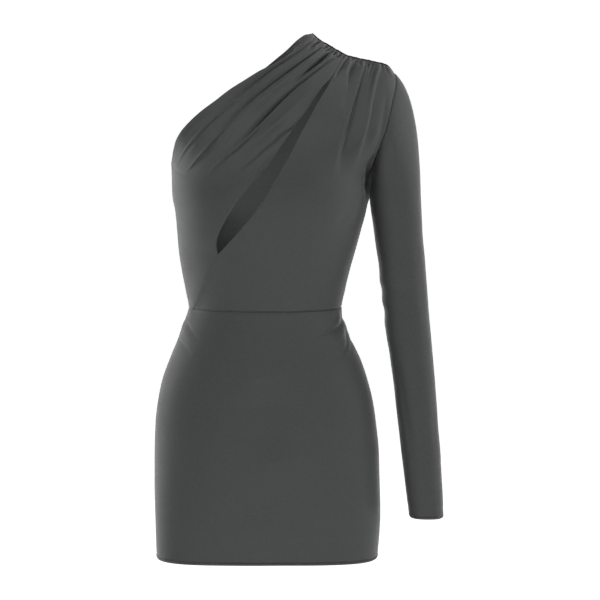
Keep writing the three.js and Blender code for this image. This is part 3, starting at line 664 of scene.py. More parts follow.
    def __post_init__(self) -> None:
        """Carries the front's folds onto the form and adds the uneven gathers of the shoulder."""
        tucks = tuple(replace(t, rises=tuple(self.tuck_depth * r for r in t.rises)) for t in self.tucks)
        seen = self.drape + self.shoulder + tucks + self.hips
        front = [replace(crease, path=self.view.trace(self.form, crease.path)) for crease in seen]
        self.folds = {Side.FRONT: front, Side.BACK: list(self.behind) + self.gather_creases()}

    def gather_creases(self) -> list[Crease]:
        """Makes the short uneven creases just below the gathered shoulder, on the hidden side."""
        rng = np.random.default_rng(self.seed)
        first = self.form.neck_end + self.gather_inset[0]
        last = self.form.shoulder_end - self.gather_inset[1]
        found = []
        for k in range(self.gathers):
            along = (k + 0.5 + rng.uniform(-0.28, 0.28)) / self.gathers
            x = first + along * (last - first)
            top = float(self.form.ridge(np.array(x)))
            lean = math.radians(float(np.interp(x, *zip(*self.gather_leans))))
            length = rng.uniform(*self.gather_length)
            path = tuple(
                (x - math.sin(lean) * d, top - 0.5 - math.cos(lean) * d)
                for d in (0.0, 0.45 * length, length)
            )
            rise = -rng.uniform(*self.gather_rise)
            below, above = rng.uniform(1.2, 2), rng.uniform(1.4, 2.4)
            found.append(Crease(path, (rise, 0.7 * rise, 0), below, above, 1.4))
        return found

    def side_height(self, side: Side, x: Array, z: Array) -> Array:
        """Returns the sum of one side's folds and of its faint waves."""
        total = sum(crease.height(x, z) for crease in self.folds[side])
        phase = 0.0 if side is Side.FRONT else self.back_phase
        total += self.wave * np.sin(x / 31 + z / 57 + phase) * np.sin(z / 43 - x / 71 + 0.6)
        return total + 0.4 * self.wave * np.sin(x / 13 - z / 29 + phase) * np.sin(z / 17 + 1.1)

    def height(self, side: Side, x: Array, z: Array) -> Array:
        """Returns how far the cloth stands out of the smooth form.

        Args:
            side: Front or back.
            x: Positions across.
            z: Heights.

        Returns:
            The sum of all folds there. They meet those of the other side along the side seams and
            are levelled out at the shoulder ridge.
        """
        own = self.side_height(side, x, z)
        other = self.side_height(side.other, x, z)
        half = self.form.half(x, z)
        inside = np.maximum(0, half - np.abs(x)) / half
        share = 0.5 + 0.5 * ease(np.sqrt(inside) * self.side_reach)
        below = self.form.ridge(x) - z
        against = ease((z - self.press_low) / 14) * ease((self.press_high - z) / 12) * (x > 0)
        press = self.press * against * bell(inside, self.press_reach)
        return (own * share + other * (1 - share)) * ease(below / self.calm) + press


@dataclass
class Shell:
    """A thin closed wall of cloth on a grid of outer points."""

    name: str
    outer: Array
    inward: Array
    thick: Array
    uv: Array
    ring: bool = False
    bulge: tuple[float, float, float, float] = (0.0, 0.0, 0.0, 0.0)
    rim_steps: int = 3

    def loops(self) -> list[tuple[Array, Array, Array]]:
        """Lists the open edges, each as vertices, their directions off the cloth and their bulge."""
        rows, columns = self.outer.shape[:2]
        index = np.arange(rows * columns).reshape(rows, columns)
        out = np.zeros_like(self.outer)
        out[0] = self.outer[0] - self.outer[1]
        out[-1] = self.outer[-1] - self.outer[-2]
        amount = np.zeros((rows, columns))
        if self.ring:
            amount[0], amount[-1] = self.bulge[0], self.bulge[2]
            edges = [index[0], index[-1][::-1]]
        else:
            out[1:-1, 0] = self.outer[1:-1, 0] - self.outer[1:-1, 1]
            out[1:-1, -1] = self.outer[1:-1, -1] - self.outer[1:-1, -2]
            amount[:, -1], amount[:, 0] = self.bulge[1], self.bulge[3]
            amount[0], amount[-1] = self.bulge[0], self.bulge[2]
            edges = [
                np.concatenate([index[0, :-1], index[:-1, -1], index[-1, :0:-1], index[:0:-1, 0]])
            ]
        flat = out.reshape(-1, 3)
        found = []
        for edge in edges:
            way = flat[edge]
            way /= np.maximum(np.linalg.norm(way, axis=1, keepdims=True), 1e-9)
            found.append((edge, way, amount.reshape(-1)[edge]))
        return found

    def build(self, finishes: Sequence[bpy.types.Material]) -> bpy.types.Object:
        """Makes the closed mesh.

        Args:
            finishes: The outside's and the inside's material.

        Returns:
            The new object, in metres, with its place in its mesh.
        """
        rows, columns = self.outer.shape[:2]
        inner = self.outer + self.inward * self.thick[..., None]
        count = rows * columns
        points = [self.outer.reshape(-1, 3), inner.reshape(-1, 3)]
        index = np.arange(count).reshape(rows, columns)
        right = np.roll(index, -1, axis=1) if self.ring else index[:, 1:]
        left = index if self.ring else index[:, :-1]
        quads = np.stack([left[:-1], right[:-1], right[1:], left[1:]], axis=-1).reshape(-1, 4)
        uv_columns = self.uv.shape[1]
        uv_index = np.arange(rows * uv_columns).reshape(rows, uv_columns)
        uv_quads = np.stack(
            [uv_index[:-1, :-1], uv_index[:-1, 1:], uv_index[1:, 1:], uv_index[1:, :-1]], axis=-1
        ).reshape(-1, 4)
        faces = [quads, quads[:, ::-1] + count]
        corners = [uv_quads, uv_quads[:, ::-1]]
        slots = [np.zeros(len(quads), int), np.ones(len(quads), int)]
        flat_uv = self.uv.reshape(-1, 2)
        vertex_uv = (
            np.arange(count).reshape(rows, columns) // columns * uv_columns
            + np.arange(count).reshape(rows, columns) % columns
        ).reshape(-1)
        total = 2 * count
        for edge, way, amount in self.loops():
            high, low = points[0][edge], points[1][edge]
            previous = edge
            for k in range(1, self.rim_steps + 2):
                if k == self.rim_steps + 1:
                    current = edge + count
                else:
                    angle = math.pi * k / (self.rim_steps + 1)
                    ring = (high + low) / 2 + (high - low) / 2 * math.cos(angle)
                    ring = ring + way * (amount * math.sin(angle))[:, None]
                    current = np.arange(total, total + len(edge))
                    points.append(ring)
                    total += len(edge)
                after, after_current = np.roll(previous, -1), np.roll(current, -1)
                faces.append(np.stack([previous, current, after_current, after], axis=-1))
                own, next_own = vertex_uv[edge], np.roll(vertex_uv[edge], -1)
                corners.append(np.stack([own, own, next_own, next_own], axis=-1))
                slots.append(np.zeros(len(edge), int))
                previous = current
        coords = (np.vstack(points) - HELD_POINT) / 1000
        polygons = np.vstack(faces)
        mesh = bpy.data.meshes.new(self.name)
        mesh.from_pydata(coords, [], polygons)
        mesh.polygons.foreach_set("use_smooth", np.ones(len(polygons), bool))
        mesh.polygons.foreach_set("material_index", np.concatenate(slots))
        layer = mesh.uv_layers.new(name="cloth")
        layer.data.foreach_set("uv", flat_uv[np.vstack(corners).reshape(-1)].reshape(-1) / 1000)
        for finish in finishes:
            mesh.materials.append(finish)
        mesh.update()
        shown = bpy.data.objects.new(self.name, mesh)
        bpy.context.collection.objects.link(shown)
        return shown


def graded(count: int, low_cuts: Sequence[float], high_cuts: Sequence[float]) -> Array:
    """Divides 0 to 1 evenly, with more cuts in its first and last span.

    Args:
        count: Even spans.
        low_cuts: Cuts of the first span, as shares of it.
        high_cuts: Cuts of the last span, as shares of it from its end.

    Returns:
        The rising cuts, 0 and 1 among them.
    """
    even = np.linspace(0, 1, count + 1)
    extra = [c / count for c in low_cuts] + [1 - c / count for c in high_cuts]
    return np.unique(np.concatenate([even, extra]))


@dataclass
class BodicePlan:
    """Edges of the bodice's pieces, shared by neighbours so that they meet along their seams."""

    form: BodyForm
    front_neckline: Line = (
        (-134.5, 211), (-130, 227), (-125, 241), (-116, 255), (-103, 269), (-87, 283), (-68, 297),
        (-50, 311), (-28, 325), (-5, 339), (8.5, 345.5), (23, 353.5), (38, 363.5), (52, 378.6),
        (65.3, 391.8),
    )
    back_neckline: Line = (
        (-134.5, 211), (-129, 226), (-118, 240), (-100, 256), (-80, 273), (-55, 296), (-30, 320),
        (-5, 341), (13, 355.5), (30.5, 369.5), (46.5, 384), (57, 390.6), (65.3, 391.8),
    )
    armhole: Line = (
        (150, 190), (151.5, 198), (154.5, 208.5), (157.5, 218), (161.5, 229.5), (167, 244),
        (172, 258.5), (176, 275.5), (180, 292.5), (184, 308), (186.3, 325), (184.5, 336),
    )
    slit_top: tuple[float, float] = (105, 349)
    lower_seam: Line = (
        (-95, 0), (-93, 21), (-87.5, 33), (-83, 47), (-79, 56), (-72.5, 69), (-66, 81.5),
    )
    slit_left: Line = (
        (-66, 81.5), (-68, 98), (-64, 113), (-52, 136), (-33, 164), (-9.5, 193), (7, 211),
        (22, 233), (42.5, 263), (59.5, 285.5), (77, 312), (96.5, 334), (105, 349),
    )
    slit_right: Line = (
        (-66, 81.5), (-52.5, 96), (-34, 117), (-15, 140), (3.5, 166), (22, 197), (36.5, 222),
        (51, 251), (72, 288), (93.5, 325), (105, 349),
    )
    underarm: float = 190.0
    lower_share: float = 5 / 24
    slit_share: float = 22 / 24
    underarm_share: float = 12 / 24
    armpit_share: float = 10 / 24

    def edge(self, side: Side, spots: Line) -> Edge:
        """Makes an edge, as turn and rise at a share of its length, from spots seen from the front."""
        line = dense_line(spots, 20)

        def at(share: Array) -> tuple[Array, Array]:
            """Returns turn and rise."""
            x, z = along_line(line, share)
            return self.form.turn_of(side, x, z), self.form.rise_of(x, z)

        return at

    @staticmethod
    def side_seam(top: float, turn: float) -> Edge:
        """Makes a side seam that rises from the waist."""
        return lambda share: (np.full_like(share, turn), top * share)

    @staticmethod
    def waist(start: float, end: float) -> Edge:
        """Makes the waist seam between two turns."""
        return lambda share: (start + (end - start) * share, np.zeros_like(share))

    def shoulder(self, side: Side, start: float, end: float) -> Edge:
        """Makes a stretch of the shoulder seam between two values of x."""

        def at(share: Array) -> tuple[Array, Array]:
            """Returns turn and rise."""
            x = start + (end - start) * share
            z = self.form.ridge(x)
            return self.form.turn_of(side, x, z), self.form.rise_of(x, z)

        return at

    @staticmethod
    def chain(first: Edge, second: Edge, share: float) -> Edge:
        """Joins two edges end to end, the first one over the given share."""

        def at(where: Array) -> tuple[Array, Array]:
            """Returns turn and rise."""
            early = first(np.clip(where / share, 0, 1))
            late = second(np.clip((where - share) / (1 - share), 0, 1))
            return tuple(np.where(where <= share, a, b) for a, b in zip(early, late))

        return at

    def middle(self, slit: Line) -> Edge:
        """Makes the edge along which the two front pieces are sewn, with one side of the slit."""
        top = self.form.seam_x
        closed = self.edge(Side.FRONT, (self.slit_top, (top, float(self.form.ridge(np.array(top))))))
        share = (self.slit_share - self.lower_share) / (1 - self.lower_share)
        upper = self.chain(self.edge(Side.FRONT, slit), closed, share)
        return self.chain(self.edge(Side.FRONT, self.lower_seam), upper, self.lower_share)

    @staticmethod
    def patch(left: Edge, right: Edge, low: Edge, high: Edge, u: Array, v: Array) -> tuple[Array, Array]:
        """Fills four edges with a smooth patch.

        Args:
            left: Edge at the first column.
            right: Edge at the last column.
            low: Edge at the first row.
            high: Edge at the last row.
            u: Shares across.
            v: Shares up.

        Returns:
            Turn and rise at every pair of shares, a row for each v.
        """
        uu, vv = np.meshgrid(u, v)
        ends = np.array([0.0, 1.0])
        result = []
        for k in range(2):
            sides = left(v)[k][:, None] * (1 - uu) + right(v)[k][:, None] * uu
            levels = low(u)[k][None, :] * (1 - vv) + high(u)[k][None, :] * vv
            a, b = left(ends)[k], right(ends)[k]
            corners = (a[0] * (1 - uu) + b[0] * uu) * (1 - vv) + (a[1] * (1 - uu) + b[1] * uu) * vv
            result.append(sides + levels - corners)
        return result[0], result[1]


@dataclass(frozen=True)
class Turning:
    """A turned hem: its height, how far it stands out, the groove above it and its rounded edge."""

    band: float
    lift: float
    blend: float
    groove: float
    groove_width: float
    edge: float
    wall: float
    edge_width: float = 0.9

    def height(self, above: Array) -> Array:
        """Returns how far the turning lifts the cloth at heights above its edge."""
        raised = self.lift * ease((self.band - above) / self.blend)
        sunk = self.groove * bell(above - self.band, self.groove_width)
        return raised - sunk - self.edge * bell(above, self.edge_width)

    def thick(self, plain: float, above: Array) -> Array:
        """Returns the wall's thickness at heights above the edge."""
        return plain + (self.wall - plain) * ease((self.band - above) / self.blend + 0.5)


@dataclass
class Cloth:
    """Sizes of the jersey and of its seams and free edges."""

    wall: float = 0.9
    edge_reach: float = 5.0
    edge_power: float = 4.0
    rolled_width: float = 1.1
    gap: float = 0.15
    ditch: float = 0.75
    waist_ditch: float = 1.4
    ditch_width: float = 1.3
    quiet_ditch: float = 0.25
    skirt_ditch: float = 0.7
    sleeve_ditch: float = 0.6


def distance_to(points: Array, line: Array) -> Array:
    """Returns how far points lie from a line of points, in space."""
    best = np.full(points.shape[:-1], np.inf)
    for k in range(len(line) - 1):
        step = line[k + 1] - line[k]
        size = step @ step
        if size < 1e-9:
            continue
        away = points - line[k]
        at = np.clip((away @ step) / size, 0, 1)
        best = np.minimum(best, np.linalg.norm(away - at[..., None] * step, axis=-1))
    return best


@dataclass
class BodicePiece:
    """One piece of the bodice: its edges, its grid and the flat cut that it was made from.

    Edges are numbered 0 left, 1 right, 2 low and 3 high. free lists its open edges, each with the shares at
    which it starts and ends, and slit_edge is the one along the slit. slit_fall is how far the cloth
    falls in there. Folds fade out at the armhole above the share armhole_from. shift moves the left
    and the right edge across, to leave the gap of the seams.
    """

    name: str
    side: Side
    plan: BodicePlan
    folds: FoldPlan
    cloth: Cloth
    edges: tuple[Edge, Edge, Edge, Edge]
    across: int
    along: int
    flat: tuple[float, float]
    area: float
    held: Held
    free: tuple[tuple[int, float, float], ...] = ()
    slit_edge: int = -1
    slit_fall: float = 0.0
    fall_reach: float = 10.0
    fall_power: float = 1.7
    fall_from: float = 0.3
    fall_to: float = 0.8
    armhole_from: float = 1.0
    armhole_fade: float = 2.6
    end_blend: float = 0.02
    rolled: float = 0.5
    edge_wall: float = 1.5
    shift: tuple[float, float] = (0.0, 0.0)
    plain_rows: float = 0.13

    def open_part(self, edge: int, share: Array) -> Array:
        """Returns 1 where an edge is free at shares of its length, and 0 where it is sewn."""
        found = np.zeros(share.shape)
        for where, low, high in self.free:
            if where == edge:
                ends = ease((share - low) / self.end_blend) * ease((high - share) / self.end_blend)
                found = np.maximum(found, ends)
        return found

    def place(self) -> Shell:
        """Works out the outer points of the piece and its wall.

        Returns:
            The piece as a shell, not yet a mesh.
        """
        form, cloth, side, plan = self.plan.form, self.cloth, self.side, self.plan
        u = graded(self.across, EDGE_CUTS, EDGE_CUTS)
        v = graded(self.along, EDGE_CUTS, EDGE_CUTS)
        v = np.interp(v, (0, self.plain_rows, 1), (0, plan.lower_share, 1))
        turn, rise = plan.patch(*self.edges, u, v)
        if side is Side.BACK:
            turn, rise, u = turn[:, ::-1], rise[:, ::-1], u[::-1]
        smooth = form.point(side, turn, rise)
        normal = form.normal(side, turn, rise)
        height = self.folds.height(side, smooth[..., 0], smooth[..., 2])
        borders = [smooth[:, 0], smooth[:, -1], smooth[0], smooth[-1]]
        if self.armhole_from < 1:
            armhole = borders[1 if side is Side.FRONT else 0][v >= self.armhole_from]
            height = height * (1 - bell(distance_to(smooth, armhole[::2]), self.armhole_fade))
        thick = np.full(height.shape, cloth.wall)
        for k, border in enumerate(borders):
            far = distance_to(smooth, border[::2])
            share = np.broadcast_to((v[:, None] if k < 2 else u[None, :]), far.shape)
            is_open = self.open_part(k, share)
            sunk = bell(far, cloth.ditch_width) * (cloth.waist_ditch if k == 2 else cloth.ditch)
            if k == self.slit_edge:
                above_slit = ease((share - plan.slit_share) / self.end_blend)
                sunk = sunk * (cloth.quiet_ditch + (1 - cloth.quiet_ditch) * above_slit)
            if k != 3:
                height = height - sunk * (1 - is_open)
            height = height - self.rolled * bell(far, cloth.rolled_width) * is_open
            lift = (self.edge_wall - cloth.wall) * bell(far, cloth.edge_reach, cloth.edge_power)
            thick = np.maximum(thick, cloth.wall + lift * is_open)
            if k == self.slit_edge:
                fall = self.slit_fall * bell(far, self.fall_reach, self.fall_power)
                fall = fall * ease((share - self.fall_from) / 0.15)
                height = height - fall * ease((self.fall_to - share) / 0.2)
        outer = smooth + normal * height[..., None]
        outer[..., 1] += side.outwards * cloth.gap
        outer[..., 0] += self.shift[0] * (1 - u) + self.shift[1] * u
        outer[..., 2] += cloth.gap * (1 - v)[:, None]
        uv = np.stack(np.broadcast_arrays(u[None, :] * self.flat[0], v[:, None] * self.flat[1]), -1)
        free = {where for where, _, _ in self.free}
        half = 0.5 * self.edge_wall
        bulge = (0.0, half if 1 in free else 0.0, 0.0, half if 0 in free else 0.0)
        return Shell(self.name, outer, -normal, thick, uv, bulge=bulge)


@dataclass
class Bodice:
    """The draped front, the other front and the back of the bodice."""

    plan: BodicePlan
    folds: FoldPlan
    cloth: Cloth

    def pieces(self) -> list[BodicePiece]:
        """Lists the three pieces with their cuts."""
        plan, form = self.plan, self.plan.form
        neck = {
            side: plan.chain(
                plan.side_seam(line[0][1], -QUARTER), plan.edge(side, line), plan.armpit_share
            )
            for side, line in ((Side.FRONT, plan.front_neckline), (Side.BACK, plan.back_neckline))
        }
        sleeve_side = {
            side: plan.chain(
                plan.side_seam(plan.underarm, QUARTER), plan.edge(side, plan.armhole),
                plan.underarm_share,
            )
            for side in Side
        }
        left_slit, right_slit = plan.middle(plan.slit_left), plan.middle(plan.slit_right)
        seam_turn = float(left_slit(np.array([0.0]))[0][0])
        gap = self.cloth.gap
        common = (plan, self.folds, self.cloth)
        return [
            BodicePiece(
                "cloth_front_drape", Side.FRONT, *common,
                (neck[Side.FRONT], left_slit, plan.waist(-QUARTER, seam_turn),
                 plan.shoulder(Side.FRONT, form.neck_end, form.seam_x)),
                186, 244, (230, 500), 0.060, Held.GATHERED,
                ((0, plan.armpit_share, 1.0), (1, plan.lower_share, plan.slit_share)),
                slit_edge=1, slit_fall=1.8, shift=(0.0, -gap),
            ),
            BodicePiece(
                "cloth_front_main", Side.FRONT, *common,
                (right_slit, sleeve_side[Side.FRONT], plan.waist(seam_turn, QUARTER),
                 plan.shoulder(Side.FRONT, form.seam_x, form.shoulder_end)),
                212, 180, (265, 385), 0.077, Held.GATHERED,
                ((0, plan.lower_share, plan.slit_share),), slit_edge=0, shift=(gap, -gap),
                armhole_from=plan.underarm_share, rolled=0.1, edge_wall=1.0,
            ),
            BodicePiece(
                "cloth_bodice_back", Side.BACK, *common,
                (neck[Side.BACK], sleeve_side[Side.BACK], plan.waist(-QUARTER, QUARTER),
                 plan.shoulder(Side.BACK, form.neck_end, form.shoulder_end)),
                140, 210, (385, 425), 0.132, Held.GATHERED,
                ((1, plan.armpit_share, 1.0),), shift=(0.0, -gap), armhole_from=plan.underarm_share,
            ),
        ]


@dataclass
class Skirt:
    """The fitted skirt: a front and a back, sewn at the sides, with a narrow turned hem."""

    form: BodyForm
    folds: FoldPlan
    cloth: Cloth
    length: float = 363.0
    hem: Turning = Turning(3.1, 0.45, 0.8, 1.3, 0.75, 0.45, 2.0)
    bulge: float = 0.9
    even_from: float = 10.0
    hem_rows: tuple[float, ...] = (
        0, 0.3, 0.7, 1.2, 1.8, 2.4, 3.0, 3.5, 3.9, 4.2, 4.5, 4.8, 5.2, 5.8, 6.8, 8.2,
    )

    def place(self, name: str, side: Side, across: int, along: int, flat: tuple[float, float]) -> Shell:
        """Works out the outer points of the front or the back of the skirt.

        Args:
            name: Name of the piece.
            side: Front or back.
            across: Spans from side seam to side seam.
            along: Spans from hem to waist.
            flat: Width and length of the cut.

        Returns:
            The piece as a shell, not yet a mesh.
        """
        even = np.linspace(self.even_from, self.length, along + 1)
        cuts = [self.length - c * (even[1] - even[0]) for c in EDGE_CUTS]
        up = np.unique(np.concatenate([self.hem_rows, even, cuts]))
        u = graded(across, EDGE_CUTS, EDGE_CUTS)
        if side is Side.BACK:
            u = u[::-1]
        turn, rise = np.meshgrid(-QUARTER + math.pi * u, up - self.length)
        smooth = self.form.point(side, turn, rise)
        normal = self.form.normal(side, turn, rise)
        height = self.folds.height(side, smooth[..., 0], smooth[..., 2])
        width = self.cloth.ditch_width
        for border in (smooth[:, 0], smooth[:, -1]):
            far = np.linalg.norm(smooth - border[:, None, :], axis=-1)
            height = height - self.cloth.skirt_ditch * self.cloth.ditch * bell(far, width)
        above = up[:, None]
        height = height - self.cloth.waist_ditch * bell(self.length - above, width)
        height = height + self.hem.height(above)
        thick = np.broadcast_to(self.hem.thick(self.cloth.wall, above), height.shape)
        outer = smooth + normal * height[..., None]
        outer[..., 1] += side.outwards * self.cloth.gap
        outer[..., 2] -= self.cloth.gap * above / self.length
        uv = np.stack(np.broadcast_arrays(u[None, :] * flat[0], above / self.length * flat[1]), -1)
        return Shell(name, outer, -normal, thick, uv, bulge=(self.bulge, 0.0, 0.0, 0.0))


@dataclass
class Sleeve:
    """The long tight sleeve: a head that leaves the armhole, then level rings to the cuff.

    A row of rings holds the height, the place across and back, and the half width and depth. A row of
    bends holds the height, the angle round the arm in degrees, the rise and the span of a soft ring
    of slack. A row of lines holds the start and the end of a long crease, each as height and angle,
    and its rise and width. press is how far the sleeve is pressed against the body below the armhole.
    """

    plan: BodicePlan
    cloth: Cloth
    rings: tuple[tuple[float, float, float, float, float], ...] = (
        (150, 187, 0, 36.8, 43), (125, 189.3, 0, 36, 42), (82, 194, 0, 34.6, 40.5),
        (9, 201.3, -2, 33.2, 38), (-64, 209.5, -8, 31.3, 36), (-137, 217.5, -15, 29.8, 34),
        (-211, 224.5, -22, 28.4, 31.5), (-285, 231.5, -27, 25.8, 29), (-305.5, 233, -28, 24.7, 28),
    )
    top: float = 150.0
    cuff: float = -302.5
    bends: tuple[tuple[float, float, float, float], ...] = (
        (22, 165, -1.6, 13), (-8, 190, -1.4, 12), (-45, 150, 1.2, 16), (120, 130, -1.5, 16),
        (-250, 60, -1.0, 14), (8, 178, 0.9, 8), (36, 172, 0.8, 8), (-24, 176, 0.8, 9),
        (-228, 40, -0.6, 9), (-268, 90, -0.5, 8), (60, 200, -0.8, 14), (-110, 150, -0.6, 18),
        (-170, 30, -0.5, 20), (100, 20, -0.5, 24), (20, 90, -0.9, 11), (-14, 86, 1.1, 13),
    )
    around: int = 156
    head_rows: int = 60
    tube_rows: int = 150
    lines: tuple[tuple[float, float, float, float, float, float], ...] = (
        (-40, 137, -235, 108, -1.5, 7.5), (-60, 118, -190, 98, 0.3, 9), (-150, 158, -250, 150, -0.5, 5),
        (-90, 40, -240, 52, -0.5, 7), (110, 60, -20, 48, -0.5, 8), (-20, 215, -180, 236, -1.2, 6),
    )
    press: float = 2.4
    press_low: float = 153.0
    press_high: float = 204.0
    girth_radius: float = 34.0
    seam_radius: float = 33.0
    square: float = 0.73
    turning: Turning = Turning(3.0, 0.3, 0.7, 0.95, 0.65, 0.4, 1.8)
    bulge: float = 0.9
    even_from: float = 8.0
    wave: float = 0.3
    fine_wave: float = 0.12
    leave_reach: float = 0.26
    arrive_reach: float = 0.36
    stitch_groove: float = 1.0
    stitch_width: float = 1.3
    hem_rows: tuple[float, ...] = (
        0, 0.3, 0.7, 1.2, 1.7, 2.2, 2.6, 2.9, 3.2, 3.5, 3.9, 4.4, 5.2, 6.4,
    )
    topstitch: float = 12.5

    def ring_point(self, turn: Array, z: Array) -> Array:
        """Returns points of the tube at turns round the arm and heights."""
        table = np.array(self.rings, float)[::-1]
        x, y, wide, deep = (smooth_column(table[:, 0], table[:, k], z) for k in range(1, 5))
        out = np.zeros(np.broadcast(turn, z).shape)
        for level, angle, rise, span in self.bends:
            facing = np.maximum(0, np.cos(turn - math.radians(angle)))
            out = out + rise * bell(z - level, span) * facing**2
        across, ahead = (np.sign(s) * np.abs(s) ** self.square for s in (np.cos(turn), np.sin(turn)))
        parts = (x + (wide + out) * across, y - (deep + out) * ahead, z + 0 * out)
        return np.stack(np.broadcast_arrays(*parts), axis=-1)

    def armhole_point(self, turn: Array) -> Array:
        """Returns points of the armhole, from its top round through its front."""
        result = np.zeros(turn.shape + (3,))
        for side, chosen in ((Side.FRONT, turn <= math.pi), (Side.BACK, turn > math.pi)):
            half = np.where(turn <= math.pi, turn / math.pi, 2 - turn / math.pi)[chosen]
            body_turn, rise = self.plan.edge(side, self.plan.armhole)(1 - half)
            result[chosen] = self.plan.form.point(side, body_turn, rise)
        return result

    def head_point(self, turn: Array, share: Array) -> Array:
        """Returns points between the armhole and the first level ring.

        Args:
            turn: Angles round the arm, one for each column.
            share: Shares of the way, one for each row.

        Returns:
            A grid of points.
        """
        start = self.armhole_point(turn)
        end = self.ring_point(turn, np.full_like(turn, self.top))
        length = np.linalg.norm(end - start, axis=-1, keepdims=True)
        high = 0.5 + 0.5 * np.cos(turn)
        leave = np.stack([0.24 + 0.5 * high, -0.24 * np.sin(turn), -1 + 0.32 * high], axis=-1)
        leave /= np.linalg.norm(leave, axis=-1, keepdims=True)
        arrive = self.ring_point(turn, np.full_like(turn, self.top - 4)) - end
        arrive /= np.linalg.norm(arrive, axis=-1, keepdims=True)
        start = start + leave * 2 * self.cloth.gap
        first = start + leave * self.leave_reach * length
        second = end - arrive * self.arrive_reach * length
        t = share[:, None, None]
        return (
            (1 - t) ** 3 * start + 3 * t * (1 - t) ** 2 * first
            + 3 * t**2 * (1 - t) * second + t**3 * end
        )

    def place(self, flat: tuple[float, float]) -> Shell:
        """Works out the sleeve's outer points, from the cuff up to the armhole.

        Args:
            flat: Width and length of the cut.

        Returns:
            The sleeve as a ring shell, not yet a mesh.
        """
        turn = FULL - np.arange(self.around) * FULL / self.around
        turn = np.mod(turn, FULL)
        length = self.top - self.cuff
        even = np.linspace(self.even_from, length, self.tube_rows + 1)
        up = np.unique(np.concatenate([self.hem_rows, even]))
        tube = self.ring_point(turn[None, :], (self.cuff + up)[:, None])
        shares = graded(self.head_rows, EDGE_CUTS, ())[1:-1]
        shares = np.concatenate([shares, [1.0]])
        head = self.head_point(turn, 1 - shares)
        outer = np.concatenate([tube, head], axis=0)
        up_way = np.gradient(outer, axis=0)
        round_way = np.roll(outer, -1, axis=1) - np.roll(outer, 1, axis=1)
        normal = np.cross(round_way, up_way)
        normal /= np.maximum(np.linalg.norm(normal, axis=-1, keepdims=True), 1e-9)
        above = np.zeros(outer.shape[:2])
        above[1:] = np.cumsum(np.linalg.norm(np.diff(outer, axis=0), axis=-1), axis=0)
        height = self.turning.height(above)
        height -= self.stitch_groove * bell(above - self.topstitch, self.stitch_width)
        height -= self.cloth.ditch * bell(above[-1] - above, self.cloth.ditch_width)
        x, z, t = outer[..., 0], outer[..., 2], turn[None, :]
        for start, first, end, last, rise, width in self.lines:
            share = np.clip((z - start) / (end - start), 0, 1)
            angle = np.radians(first + (last - first) * share)
            off = (np.mod(t - angle + math.pi, FULL) - math.pi) * self.girth_radius
            height += rise * np.sin(math.pi * share) * bell(off, width)
        inner = np.maximum(0, -np.cos(t - 0.25)) ** 3
        height += self.press * inner * ease((z - self.press_low) / 7) * ease((self.press_high - z) / 16)
        height += self.wave * np.sin(z / 37 + 2 * t) * np.sin(z / 53 - t + 0.4)
        height += self.fine_wave * np.sin(z / 15 + 3 * t + 1) * np.sin(z / 21 + x / 19)
        seam = (np.mod(t, FULL) - math.pi) * self.seam_radius
        height -= self.cloth.sleeve_ditch * self.cloth.ditch * bell(seam, self.cloth.ditch_width)
        thick = self.turning.thick(self.cloth.wall, above)
        outer = outer + normal * height[..., None]
        columns = np.arange(self.around + 1) / self.around
        rise_uv = above.mean(axis=1) / above[-1].mean()
        uv = np.stack(np.broadcast_arrays(columns[None, :] * flat[0], rise_uv[:, None] * flat[1]), -1)
        ends = (self.bulge, 0.0, 0.0, 0.0)
        return Shell("cloth_sleeve", outer, -normal, thick, uv, ring=True, bulge=ends)

    def stitch_line(self, shell: Shell) -> Array:
        """Returns the closed line of the cuff's sewing, just inside the placed sleeve's surface."""
        row = int(np.argmin(np.abs(shell.outer[..., 2].mean(axis=1) - self.cuff - self.topstitch)))
        line = shell.outer[row] - shell.inward[row] * 0.1
        return np.vstack([line, line[:1]])


def new_tree(name: str, numbers: Sequence[str], counts: Sequence[str]) -> bpy.types.NodeTree:
    """Makes an empty geometry tree.

    Args:
        name: Name of the tree.
        numbers: Names of its inputs that are numbers.
        counts: Names of its inputs that are whole numbers.

    Returns:
        The tree, with geometry in and out, those inputs and a material named Finish.
    """
    tree = bpy.data.node_groups.new(name, "GeometryNodeTree")
    add = tree.interface.new_socket
    add("Geometry", in_out="INPUT", socket_type="NodeSocketGeometry")
    add("Geometry", in_out="OUTPUT", socket_type="NodeSocketGeometry")
    kinds = [(n, "Float") for n in numbers] + [(n, "Int") for n in counts] + [("Finish", "Material")]
    for socket, kind in kinds:
        add(socket, in_out="INPUT", socket_type="NodeSocket" + kind)
    return tree


def run_tree(
    tree: bpy.types.NodeTree, name: str, line: Array, values: dict[str, object]
) -> bpy.types.Object:
    """Runs a geometry tree on a line of points and keeps the result as a plain mesh.

    Args:
        tree: The tree.
        name: Name of the finished piece.
        line: Points in millimetres from the waist.
        values: The tree's inputs by name.

    Returns:
        The finished object, with no modifier.
    """
    curve = bpy.data.curves.new(name + "_path", "CURVE")
    curve.dimensions = "3D"
    spline = curve.splines.new("POLY")
    spline.points.add(len(line) - 1)
    coords = np.hstack([(line - HELD_POINT) / 1000, np.ones((len(line), 1))])
    spline.points.foreach_set("co", coords.reshape(-1))
    path = bpy.data.objects.new(name + "_path", curve)
    bpy.context.collection.objects.link(path)
    modifier = path.modifiers.new("work", "NODES")
    modifier.node_group = tree
    sockets = {s.name: s.identifier for s in tree.interface.items_tree if s.in_out == "INPUT"}
    for key, value in values.items():
        modifier[sockets[key]] = value
    ready = path.evaluated_get(bpy.context.evaluated_depsgraph_get())
    mesh = bpy.data.meshes.new_from_object(ready)
    mesh.name = name
    path.modifiers.remove(modifier)
    bpy.data.objects.remove(path)
    bpy.data.curves.remove(curve)
    shown = bpy.data.objects.new(name, mesh)
    bpy.context.collection.objects.link(shown)
    return shown


